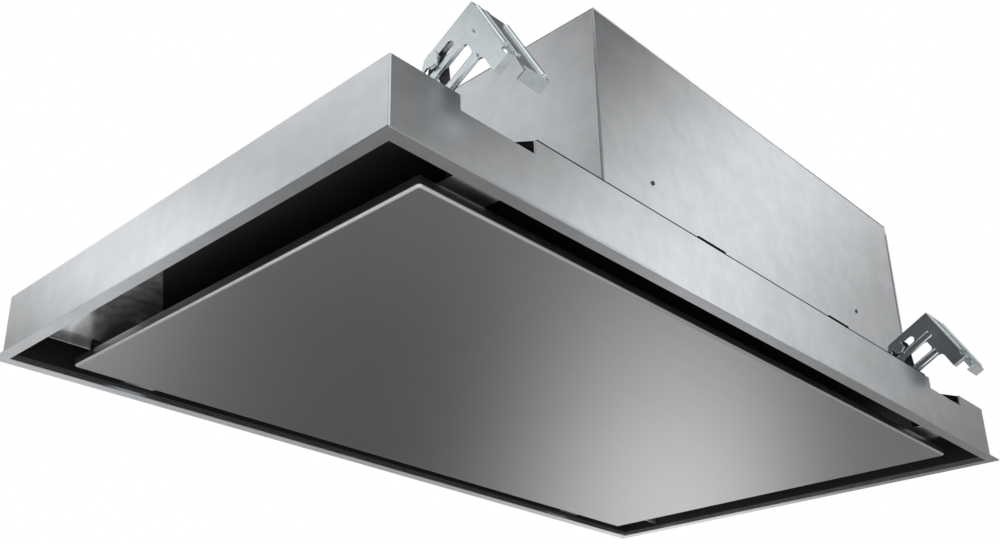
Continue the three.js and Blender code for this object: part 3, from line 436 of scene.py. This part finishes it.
# a row of bars along one line: Step is the way from one to the next
def rowTree():
    tree, build, (_, pattern, start, step, count) = newTree("rowOfCopies", {
        "Pattern": "NodeSocketObject", "Start": "NodeSocketVector", "Step": "NodeSocketVector",
        "Count": "NodeSocketInt"})
    line = build.node("GeometryNodeMeshLine", {"mode": "OFFSET"}, {
        "Count": count, "Start Location": start, "Offset": step})
    return closeTree(tree, build, pattern, {"Points": line})


trees = {"scatter": scatterTree(), "row": rowTree()}
copySmooth = math.radians(30)


def grow(name, tree, base, shape, values, finish, body):
    pattern = bpy.data.objects.new("pattern", asMesh("pattern", shape))
    holder = bpy.data.objects.new(name + "_points", base)
    for thing in (pattern, holder):
        bpy.context.scene.collection.objects.link(thing)
    modifier = holder.modifiers.new("grow", "NODES")
    modifier.node_group = tree
    values = {"Pattern": pattern, **values}
    for item in tree.interface.items_tree:
        if item.in_out == "INPUT" and item.name in values:
            modifier[item.identifier] = values[item.name]
    depsgraph = bpy.context.evaluated_depsgraph_get()
    mesh = bpy.data.meshes.new_from_object(holder.evaluated_get(depsgraph), depsgraph=depsgraph)
    mesh.name = name
    mesh.shade_smooth()
    mesh.set_sharp_from_angle(angle=copySmooth)
    for thing in (pattern, holder):
        bpy.data.objects.remove(thing)
    settle(name, mesh, finish, body)


# places are pairs of a point and the way that the copy's top faces
def scatter(name, shape, places, finish, body):
    points = bpy.data.meshes.new("points")
    points.from_pydata([place for place, _ in places], [], [])
    aims = points.attributes.new("aim", "FLOAT_VECTOR", "POINT")
    for i, (_, aim) in enumerate(places):
        aims.data[i].vector = aim
    grow(name, trees["scatter"], points, shape, {}, finish, body)


def row(name, shape, start, step, count, finish, body):
    values = {"Start": start, "Step": step, "Count": count}
    grow(name, trees["row"], bpy.data.meshes.new("start"), shape, values, finish, body)


# casing, deck and air path
casing = {"edge": 0.2 * mm, "cornerRound": 1.2 * mm, "halfLength": 0.444, "halfDepth": 0.244, "near": 1e-4,
          "upright": 0.02, "rivet": (2.2 * mm, 0.7 * mm), "rivetZ": 52,
          "rivetX": (-425, -240, -120, 0, 120, 240, 425), "rivetY": (-215, 0, 215)}


def casingCorner(edge):
    a, b = (v.co for v in edge.verts)
    offX, offY = abs(a.x) - casing["halfLength"], abs(a.y) - casing["halfDepth"]
    return abs(a.z - b.z) > casing["upright"] and max(abs(offX), abs(offY)) < casing["near"]


deck = {"edge": 0.3 * mm, "screw": (3.2 * mm, 1.7 * mm), "sink": 0.8 * mm, "rowX": (-250, -150, 0, 150, 250),
        "rowY": (-205, 205), "endX": (-425, 428), "endY": (-120, 0, 120)}
airPath = {"guideEdge": 0.35 * mm, "holderEdge": 0.3 * mm, "deflectorEdge": 0.3 * mm}
ease("casing", "galvanised", "housing", casing["edge"], easing["fine"], casingCorner, casing["cornerRound"])
ease("deck_plate", "innerSheet", "housing", deck["edge"])
ease("air_guide", "enamelAndShade", "housing", airPath["guideEdge"])
ease("filter_holder", "innerSheet", "housing", airPath["holderEdge"])
# the deflectors' sheet carries painted reflection streaks in its colour
for side in ("left", "right"):
    ease("air_deflector_" + side, "bright", "housing", airPath["deflectorEdge"], easing["fine"])

# rivets through the back and right walls, where the deck's rim is fastened
rivetZ = casing["rivetZ"] * mm
rimRivets = [((x * mm, casing["halfDepth"], rivetZ), (0, 1, 0)) for x in casing["rivetX"]]
rimRivets += [((casing["halfLength"], y * mm, rivetZ), (1, 0, 0)) for y in casing["rivetY"]]
scatter("casing_rivets", headShape("rivet", *casing["rivet"]), rimRivets, "zinc", "housing")

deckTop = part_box("deck_plate")[1].z - deck["sink"]
deckScrews = [((x * mm, y * mm, deckTop), (0, 0, 1)) for y in deck["rowY"] for x in deck["rowX"]]
deckScrews += [((x * mm, y * mm, deckTop), (0, 0, 1)) for x in deck["endX"] for y in deck["endY"]]
scatter("deck_screws", headShape("screw", *deck["screw"]), deckScrews, "zinc", "housing")

# two short black blocks and a long thin black strip on the rim's front and back: each from one x to another,
# and its top. The thin strip is painted shade, standing for the shadow gap between the casing's rim and the
# motor box
padsAndShadeStrip = {"spans": [(-108, -68, 63.2), (105, 142, 63.2), (-305, 305, 61.6)], "y": (-242.4, -238.5),
        "from": 57, "round": 0.5, "smooth": 50}
padsAndShadeShape = bmesh.new()
for start, end, top in padsAndShadeStrip["spans"]:
    for side in (1, -1):
        front, back = sorted(side * y * mm for y in padsAndShadeStrip["y"])
        addBlock(padsAndShadeShape, (start * mm, front, padsAndShadeStrip["from"] * mm), (end * mm, back, top * mm))
roundEdges(padsAndShadeShape, padsAndShadeStrip["round"] * mm, easing["fine"])
settle("rim_pads", asMesh("rimPadsAndShadeStrip", padsAndShadeShape, padsAndShadeStrip["smooth"]), "foamAndShade", "housing")
print("casing, deck and air path made")

# stainless panel
panel = {"fold": 2.2 * mm, "corner": 3.2 * mm, "leastCorner": 0.4 * mm, "sheet": 0.9 * mm, "lip": 0.25 * mm,
         "steps": 5, "cornerSteps": 6, "smooth": 40, "backingEdge": 0.25 * mm, "fittingEdge": 0.3 * mm,
         "magnetEdge": 0.5 * mm, "rivet": (2 * mm, 0.8 * mm), "rivetX": (-8, 8), "rivetY": (7, 22)}


def roundedLoop(halfX, halfY, radius, z, steps):
    points = []
    for signX, signY, start in ((1, -1, -90), (1, 1, 0), (-1, 1, 90), (-1, -1, 180)):
        for i in range(steps + 1):
            angle = math.radians(start + 90 * i / steps)
            points.append((
                signX * (halfX - radius) + radius * math.cos(angle),
                signY * (halfY - radius) + radius * math.sin(angle), z))
    return points


# the panel's skin: loops from the underside out round the fold, up the rim, over its lip and down inside
def tray(halfX, halfY, bottom, top):
    fold, sheet, lip, steps = panel["fold"], panel["sheet"], panel["lip"], panel["steps"]
    angles = [0.5 * math.pi * i / steps for i in range(1, steps + 1)]
    inner = fold - sheet
    rings = [(fold, bottom)]
    rings += [(fold * (1 - math.sin(a)), bottom + fold * (1 - math.cos(a))) for a in angles]
    rings += [(0, top - lip), (lip, top), (sheet - lip, top), (sheet, top - lip), (sheet, bottom + fold)]
    rings += [(fold - inner * math.cos(a), bottom + sheet + inner * (1 - math.sin(a))) for a in angles]
    shape = bmesh.new()
    loops = []
    for inset, z in rings:
        radius = max(panel["corner"] - inset, panel["leastCorner"])
        points = roundedLoop(halfX - inset, halfY - inset, radius, z, panel["cornerSteps"])
        loops.append([shape.verts.new(point) for point in points])
    for first, second in zip(loops, loops[1:]):
        for i in range(len(first)):
            j = (i + 1) % len(first)
            shape.faces.new([first[i], first[j], second[j], second[i]])
    shape.faces.new(loops[0])
    shape.faces.new(loops[-1])
    bmesh.ops.recalc_face_normals(shape, faces=shape.faces)
    markNarrow(shape, 2 * panel["corner"], math.radians(panel["smooth"]))
    return shape


low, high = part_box("panel_skin")
skin = tray(high.x, high.y, low.z, high.z)
settle("panel_skin_look", asMesh("panelSkin", skin), "stainless", "panel", ["panel_skin"])
ease("panel_backing", "innerSheet", "panel", panel["backingEdge"], easing["fine"])
for side in ("left", "right"):
    ease("panel_hinge_" + side, "innerSheet", "panel", panel["fittingEdge"])
    ease("panel_striker_" + side, "innerSheet", "panel", panel["fittingEdge"])
    ease("hinge_ears_" + side, "innerSheet", "housing", panel["fittingEdge"])
    ease("catch_magnet_" + side, "plastic", "housing", panel["magnetEdge"])
    low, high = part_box("panel_hinge_" + side)
    middle = (low.x + high.x) / 2
    hingeRivets = [((middle + x * mm, low.y + y * mm, high.z), (0, 0, 1))
                   for x in panel["rivetX"] for y in panel["rivetY"]]
    scatter("hinge_rivets_" + side, headShape("rivet", *panel["rivet"]), hingeRivets, "zinc", "panel")
print("panel made")

# motor box
motorBox = {"edge": 0.45 * mm, "seam": 3.4 * mm, "seamProud": 0.7 * mm, "seamFoot": 2 * mm, "seamTop": 9 * mm,
            "seamRound": 0.28 * mm, "seamNarrow": 0.5 * mm, "frontScrew": (2.3 * mm, 1.1 * mm),
            "frontX": (-75.5, 300.6), "frontZ": 150, "screw": (3.4 * mm, 1.8 * mm),
            "lidX": (-140, 44, 228, 408), "lidY": (-175, 127), "endX": (-140, 408), "endY": -24,
            "sideY": (-176, 128), "sideZ": (90, 180, 270)}
for part in ("front", "back", "left", "right", "lid"):
    ease("motor_box_" + part, "galvanised", "housing", motorBox["edge"], easing["fine"])
low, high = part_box("motor_box_lid")
boxLow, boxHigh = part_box("motor_box_front")
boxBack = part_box("motor_box_back")[1].y


# the side sheets' turned edges, which lie over the front and back sheets
def foldStrip(name, x, side, y, facing):
    shape = bmesh.new()
    edge = x - side * motorBox["seam"]
    outer = y + facing * motorBox["seamProud"]
    foot, top = boxLow.z + motorBox["seamFoot"], boxHigh.z - motorBox["seamTop"]
    addBlock(shape, (min(x, edge), min(y, outer), foot), (max(x, edge), max(y, outer), top))
    roundEdges(shape, motorBox["seamRound"], easing["fine"])
    markNarrow(shape, motorBox["seamNarrow"], easing["sharp"])
    settle(name, asMesh(name, shape), "galvanised", "housing")


for label, side, x in (("left", -1, boxLow.x), ("right", 1, boxHigh.x)):
    foldStrip("box_fold_front_" + label, x, side, boxLow.y, -1)
    foldStrip("box_fold_back_" + label, x, side, boxBack, 1)
frontScrews = [((x * mm, boxLow.y, motorBox["frontZ"] * mm), (0, -1, 0)) for x in motorBox["frontX"]]
scatter("motor_box_front_screws", headShape("screw", *motorBox["frontScrew"]), frontScrews, "motor",
        "housing")
boxScrews = [((x * mm, y * mm, high.z), (0, 0, 1)) for x in motorBox["lidX"] for y in motorBox["lidY"]]
boxScrews += [((x * mm, motorBox["endY"] * mm, high.z), (0, 0, 1)) for x in motorBox["endX"]]
boxScrews += [((x * mm, high.y, z * mm), (0, 1, 0)) for x in motorBox["endX"] for z in motorBox["sideZ"]]
boxScrews += [((high.x, y * mm, z * mm), (1, 0, 0)) for y in motorBox["sideY"] for z in motorBox["sideZ"]]
scatter("motor_box_screws", headShape("screw", *motorBox["screw"]), boxScrews, "zinc", "housing")
print("motor box made")

# ceiling brackets, in millimetres. Their own axes are x across, u down the leg and v out of it, from the apex
bracket = {"tilt": 28.5, "apex": (-346, -251, 131), "shift": 692, "edge": 0.25, "foldRound": 0.7,
           "foldLength": 40, "foldDrift": 1, "holderEdge": 0.3, "boltEdge": 0.4}
leg = {"x": (-32.1, -22.6), "u": (2, 40), "v": (-1.5, -0.03), "round": 0.35}
beads = {"face": -33, "rise": 1.35, "slope": 2, "spans": [(11, 53, -24.7, -17.2), (17.5, 55.5, -45, -37.6)],
         "webRise": 1.6, "webSlope": 1.1, "webSpans": [(-32, -27.5, -55, -4), (-3.5, 1.5, -70, -4)],
         "round": 0.3}
shadeCheek = {"x": (-309.6, -308.4), "round": 0.3,
         "outline": [(-242.6, 47.2), (-242.6, 58.3), (-214, 70), (-212, 66), (-212, 47.2)]}
hullFlat = 0.02


def bracketPoint(x, u, v):
    angle = math.radians(bracket["tilt"])
    apexX, apexY, apexZ = bracket["apex"]
    return Vector((apexX + x, apexY + u * math.cos(angle) + v * math.sin(angle),
                   apexZ - u * math.sin(angle) + v * math.cos(angle))) * mm


# one solid round each list of points, moved to the given corner of the hood
def hulls(lists, width, segments, corner):
    shape = bmesh.new()
    for points in lists:
        bmesh.ops.convex_hull(shape, input=[shape.verts.new(point) for point in points])
    bmesh.ops.dissolve_limit(shape, angle_limit=hullFlat, verts=shape.verts, edges=shape.edges)
    roundEdges(shape, width * mm, segments)
    bmesh.ops.recalc_face_normals(shape, faces=shape.faces)
    if corner.endswith("right") == corner.startswith("front"):
        shape.transform(Matrix.Translation((bracket["shift"] * mm, 0, 0)))
    if corner.startswith("back"):
        shape.transform(Matrix.Rotation(math.pi, 4, "Z"))
    return shape


# the turned edge along the top of the slotted leg
def legFlange(corner):
    points = [bracketPoint(x, u, v) for x in leg["x"] for u in leg["u"] for v in leg["v"]]
    return hulls([points], leg["round"], easing["fine"], corner)


# pressed beads with sloping sides: broad ones beside the slot and the window, two along the web's edges
def pressedBeads(corner):
    lists = []
    for start, end, low, high in beads["spans"]:
        lists.append([bracketPoint(x, u, v)
                      for x, inset in ((beads["face"], 0), (beads["face"] - beads["rise"], beads["slope"]))
                      for u in (start + inset, end - inset) for v in (low + inset, high - inset)])
    for left, right, low, high in beads["webSpans"]:
        lists.append([bracketPoint(x, u, v)
                      for u, inset in ((0, 0), (-beads["webRise"], beads["webSlope"]))
                      for x in (left + inset, right - inset) for v in (low + inset, high - inset)])
    return hulls(lists, beads["round"], easing["fine"], corner)


# the black sheet that closes the well beside its notch: painted shade, standing where the side of the cut-out
# lies in shadow
def wellShadeCheek(corner):
    points = [Vector((x, y, z)) * mm for x in shadeCheek["x"] for y, z in shadeCheek["outline"]]
    return hulls([points], shadeCheek["round"], easing["plain"], corner)


def longFold(edge):
    a, b = (v.co for v in edge.verts)
    return (a - b).length > bracket["foldLength"] * mm and abs(a.x - b.x) < bracket["foldDrift"] * mm


# the bracket holders' black enamel and the wells' black sheets are painted shade, standing where the notch
# lies in shadow
for corner in corners:
    ease("ceiling_bracket_" + corner, "zinc", "bracket_" + corner, bracket["edge"] * mm, easing["plain"],
         longFold, bracket["foldRound"] * mm)
    ease("bracket_holder_" + corner, "enamelAndShade", "housing", bracket["holderEdge"] * mm)
    ease("bracket_bolt_" + corner, "zinc", "bolt_" + corner, bracket["boltEdge"] * mm)
    flange, pressed = asMesh("legFlange", legFlange(corner)), asMesh("pressedBeads", pressedBeads(corner))
    settle("leg_flange_" + corner, flange, "zinc", "bracket_" + corner)
    settle("pressed_beads_" + corner, pressed, "zinc", "bracket_" + corner)
    settle("well_cheek_" + corner, asMesh("wellShadeCheek", wellShadeCheek(corner)), "foamAndShade", "housing")
print("brackets made")

# outlet, controls, filters and fan. Each bar is its length, width and height, in millimetres. Its edges are
# rounded by a share of the smaller of the last two
barRound = 0.22


def bar(length, width, height):
    half = [side * mm / 2 for side in (length, width, height)]
    shape = bmesh.new()
    addBlock(shape, [-side for side in half], half)
    roundEdges(shape, 2 * min(half[1:]) * barRound, easing["plain"])
    return shape


# bars round an axis along X, standing outwards
def barsRound(name, settings, centre, radius, finish):
    places = []
    for i in range(settings["count"]):
        angle = 2 * math.pi * i / settings["count"]
        out = Vector((0, math.cos(angle), math.sin(angle)))
        places.append((Vector(centre) + out * (radius - settings["sink"] * mm), out))
    scatter(name, bar(*settings["bar"]), places, finish, "housing")


# bars side by side along X
def barRow(name, settings, start, body):
    row(name, bar(*settings["bar"]), start, (settings["step"] * mm, 0, 0), settings["count"], "plastic", body)


collar = {"screw": (3 * mm, 1.6 * mm), "inset": 7 * mm, "stand": 2.2 * mm}
low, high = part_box("duct_collar")
inset = collar["inset"]
collarScrews = [((x, low.y + collar["stand"], z), (0, 1, 0))
                for x in (low.x + inset, high.x - inset) for z in (low.z + inset, high.z - inset)]
scatter("collar_screws", headShape("screw", *collar["screw"]), collarScrews, "zinc", "housing")

flapRibs = {"bar": (0.9, 1.6, 96), "first": {"left": 18, "right": 26}, "y": 153.3, "step": 11, "count": 4}
latchGrip = {"bar": (1.2, 10, 0.9), "first": 12, "y": 8, "rise": 0.1, "step": 3.4, "count": 8}
for side in ("left", "right"):
    low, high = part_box("backdraft_flap_" + side)
    start = (low.x + flapRibs["first"][side] * mm, flapRibs["y"] * mm, (low.z + high.z) / 2)
    barRow("flap_ribs_" + side, flapRibs, start, side + "_flap")
    low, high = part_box("filter_latch_" + side)
    start = ((low.x + high.x) / 2 - latchGrip["first"] * mm, low.y + latchGrip["y"] * mm,
             low.z + latchGrip["rise"] * mm)
    barRow("latch_grip_" + side, latchGrip, start, side + "_filter_latch")

controlLid = {"screw": (2.6 * mm, 1.4 * mm), "inset": 6 * mm, "bar": (1.6, 84, 1.0), "first": 40, "rise": 0.1,
              "step": 12, "count": 9}
low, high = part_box("control_box_lid")
inset = controlLid["inset"]
lidScrews = [((x, y, high.z), (0, 0, 1))
             for x in (low.x + inset, high.x - inset) for y in (low.y + inset, high.y - inset)]
scatter("control_lid_screws", headShape("screw", *controlLid["screw"]), lidScrews, "zinc", "housing")
start = (low.x + controlLid["first"] * mm, (low.y + high.y) / 2, high.z + controlLid["rise"] * mm)
barRow("control_lid_ribs", controlLid, start, "housing")

glandGrip = {"bar": (7, 1.0, 1.0), "middle": 6, "sink": 0.9, "count": 20}
low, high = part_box("cable_gland")
glandAxis = (low.x + glandGrip["middle"] * mm, (low.y + high.y) / 2, (low.z + high.z) / 2)
barsRound("gland_grip", glandGrip, glandAxis, (high.z - low.z) / 2, "plastic")

motorFins = {"bar": (34, 1.4, 2.4), "sink": 1, "count": 28}
low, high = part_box("fan_motor")
motorAxis = ((low.x + high.x) / 2, (low.y + high.y) / 2, (low.z + high.z) / 2)
barsRound("motor_fins", motorFins, motorAxis, (high.z - low.z) / 2, "motor")
print("fittings made")

# CAD nodes that keep their own shape
kept = {
    "zinc": ["fan_shaft", "motor_arms", "flap_pin", "hinge_pin_left", "hinge_pin_right"],
    "innerSheet": ["scroll_band", "scroll_side_left", "scroll_side_right", "inlet_ring_left",
                   "inlet_ring_right"],
    "aluminium": ["impeller"],
    "filterMesh": ["grease_filter_left", "grease_filter_right"],
    "plastic": ["filter_latch_left", "filter_latch_right", "duct_collar", "backdraft_flap_left",
                "backdraft_flap_right", "control_box", "control_box_lid", "cable_gland"],
    "motor": ["fan_motor"],
    "board": ["control_board"],
}
for finish, names in kept.items():
    for name in names:
        mesh = nodes[name].data
        mesh.materials.clear()
        mesh.materials.append(finishes[finish])

# camera
view = {"place": (-0.83469, -0.67435, -0.38262), "yaw": 0.7826, "pitch": 0.3985, "roll": 0.0024,
        "lens": 42.04, "sensor": 36, "shift": (0.067, 0.08), "near": 0.02}
camera = bpy.data.objects.new("camera", bpy.data.cameras.new("camera"))
bpy.context.scene.collection.objects.link(camera)
yaw, pitch, roll = view["yaw"], view["pitch"], view["roll"]
ahead = Vector((math.sin(yaw) * math.cos(pitch), math.cos(yaw) * math.cos(pitch), math.sin(pitch)))
across = Vector((math.cos(yaw), -math.sin(yaw), 0))
above = across.cross(ahead)
right = math.cos(roll) * across + math.sin(roll) * above
up = math.cos(roll) * above - math.sin(roll) * across
turn = Matrix((right, up, -ahead)).transposed().to_4x4()
camera.matrix_world = Matrix.Translation(view["place"]) @ turn
camera.data.lens = view["lens"]
camera.data.sensor_width = view["sensor"]
camera.data.shift_x, camera.data.shift_y = view["shift"]
camera.data.clip_start = view["near"]
bpy.context.scene.camera = camera

# studio
# Directions are degrees round from +X, and degrees up. The room is white; dark screens and soft boxes stand
# in it, and only shiny surfaces see them. Their tones are in units of the room's white
screens = [
    dict(turn=-34, turnIn=20, turnOut=34, rise=28, riseIn=18, riseOut=30, tone=0.05),
    dict(turn=41, turnIn=27, turnOut=42, rise=-24, riseIn=17, riseOut=30, tone=0.155),
    dict(turn=122, turnIn=20, turnOut=30, rise=30, riseIn=14, riseOut=26, tone=0.2),
    dict(turn=158.3, turnIn=17, turnOut=25, rise=30, riseIn=20, riseOut=34, tone=0.05),
    dict(turn=23, turnIn=28, turnOut=42, rise=47, riseIn=24, riseOut=34, tone=0.12),
    dict(turn=-158, turnIn=20, turnOut=32, rise=24, riseIn=18, riseOut=30, tone=0.06),
    dict(turn=-2, turnIn=16, turnOut=30, rise=-2, riseIn=10, riseOut=20, tone=0.3),
    dict(turn=-38, turnIn=18, turnOut=32, rise=-20, riseIn=10, riseOut=22, tone=0.4),
    dict(turn=-95, turnIn=30, turnOut=48, rise=24, riseIn=22, riseOut=36, tone=0.35),
    dict(turn=112, turnIn=20, turnOut=32, rise=-30, riseIn=16, riseOut=26, tone=0.35),
    dict(turn=-8, turnIn=14, turnOut=26, rise=-38, riseIn=14, riseOut=24, tone=0.4),
]
boxes = [
    dict(turn=-26.7, rise=31, wide=10.8, tall=9.2, tone=1.6),
    dict(turn=-44.2, rise=19.6, wide=23.9, tall=11.3, tone=2.2),
    dict(turn=35.5, rise=-16.9, wide=12.1, tall=10.2, tone=2.1),
    dict(turn=46.7, rise=-20.6, wide=22.5, tall=12.2, tone=0.03),
    dict(turn=64.5, rise=-27.4, wide=7.7, tall=9.7, tone=0.9),
    dict(turn=121.9, rise=26, wide=12.8, tall=6.4, tone=2.2),
    dict(turn=125.2, rise=38, wide=9.6, tall=8.9, tone=1.8),
    dict(turn=140.2, rise=34.3, wide=6.8, tall=8.4, tone=1.9),
    dict(turn=127.5, rise=-35.4, wide=5, tall=10, tone=5.5),
    dict(turn=117.3, rise=-28, wide=4, tall=9, tone=5.0),
]
light = {"boxCore": 0.15, "diffuse": 0.75, "lampAim": (0, 0, 0.1)}
world = bpy.data.worlds.new("studio")
bpy.context.scene.world = world
world.use_nodes = True
world.cycles.sampling_method = "NONE"
world.node_tree.nodes.clear()
room = Shader(world.node_tree)
direction = room.node("ShaderNodeTexCoord", output="Generated")
axes = world.node_tree.nodes.new("ShaderNodeSeparateXYZ")
world.node_tree.links.new(direction.socket, axes.inputs[0])
dirX, dirY, dirZ = (Value(room, socket) for socket in axes.outputs)
bearing = dirY.maths("ARCTAN2", dirX)
height = dirZ.maths("ARCSINE")


def over(glow, tone, amount):
    return tone * amount + (1 - amount) * glow


def screen(glow, tone, turn, turnIn, turnOut, rise, riseIn, riseOut):
    aside = (bearing - math.radians(turn)).maths("ABSOLUTE")
    above = (height - math.radians(rise)).maths("ABSOLUTE")
    inTurn = room.between(aside, math.radians(turnIn), math.radians(turnOut), 1.0, 0.0)
    inRise = room.between(above, math.radians(riseIn), math.radians(riseOut), 1.0, 0.0)
    return over(glow, tone, inTurn * inRise)


# fading out from the middle of an oval
def softBox(glow, tone, turn, rise, wide, tall):
    aside = (bearing - math.radians(turn)) / math.radians(wide)
    above = (height - math.radians(rise)) / math.radians(tall)
    distance = (aside * aside + above * above).maths("SQRT")
    return over(glow, tone, room.between(distance, light["boxCore"], 1.0, 1.0, 0.0))


glow = 1.0
for settings in screens:
    glow = screen(glow, **settings)
for settings in boxes:
    glow = softBox(glow, **settings)
path = world.node_tree.nodes.new("ShaderNodeLightPath")
seen = Value(room, path.outputs["Is Camera Ray"])
through = Value(room, path.outputs["Is Transmission Ray"])
shiny = Value(room, path.outputs["Is Glossy Ray"]).maths("MAXIMUM", through)
strength = seen + (1 - seen) * (shiny * glow + (1 - shiny) * light["diffuse"])
background = room.node("ShaderNodeBackground", None, {"Color": (1, 1, 1, 1), "Strength": strength})
worldOut = world.node_tree.nodes.new("ShaderNodeOutputWorld")
world.node_tree.links.new(background.socket, worldOut.inputs[0])

# a pale floor, which the camera sees as almost white and the part doesn't reflect
floorSettings = {"drop": 1.5, "radius": 1.7, "segments": 96, "tone": 0.86, "clear": 0.85}
floorShape = bmesh.new()
bmesh.ops.create_circle(
    floorShape, cap_ends=True, segments=floorSettings["segments"], radius=floorSettings["radius"],
    matrix=Matrix.Translation((0, 0, -floorSettings["drop"])))
floor = bpy.data.objects.new("floor", asMesh("floor", floorShape))
bpy.context.scene.collection.objects.link(floor)
floorMaterial = bpy.data.materials.new("paleFloor")
floorMaterial.use_nodes = True
floorTree = floorMaterial.node_tree
floorTree.nodes.clear()
stageShader = Shader(floorTree)
floorSeen = stageShader.node("ShaderNodeLightPath", output="Is Camera Ray")
plain = stageShader.node("ShaderNodeBsdfDiffuse", None, {"Color": (*[floorSettings["tone"]] * 3, 1)})
white = stageShader.node("ShaderNodeEmission", None, {"Color": (1, 1, 1, 1), "Strength": 1.0})
clear = floorSeen * floorSettings["clear"]
mixed = stageShader.node("ShaderNodeMixShader", None, {0: clear, 1: plain, 2: white})
floorOut = floorTree.nodes.new("ShaderNodeOutputMaterial")
floorTree.links.new(mixed.socket, floorOut.inputs[0])
floor.data.materials.append(floorMaterial)
floor.visible_glossy = False

lamps = [
    dict(name="keyLamp", place=(-2.2, -2.6, 2.2), size=1.6, power=45),
    dict(name="backLamp", place=(2.6, 2.4, 2.4), size=1.6, power=35),
    dict(name="underLamp", place=(-1.6, -1.9, -1.2), size=1.2, power=10),
]
for settings in lamps:
    lamp = bpy.data.lights.new(settings["name"], "AREA")
    lamp.size = settings["size"]
    lamp.energy = settings["power"]
    holder = bpy.data.objects.new(settings["name"], lamp)
    holder.visible_glossy = False
    bpy.context.scene.collection.objects.link(holder)
    aim = (Vector(light["lampAim"]) - Vector(settings["place"])).to_track_quat("-Z", "Y")
    holder.matrix_world = Matrix.Translation(settings["place"]) @ aim.to_matrix().to_4x4()
bpy.context.scene.view_settings.view_transform = "Standard"
print("camera and studio made")
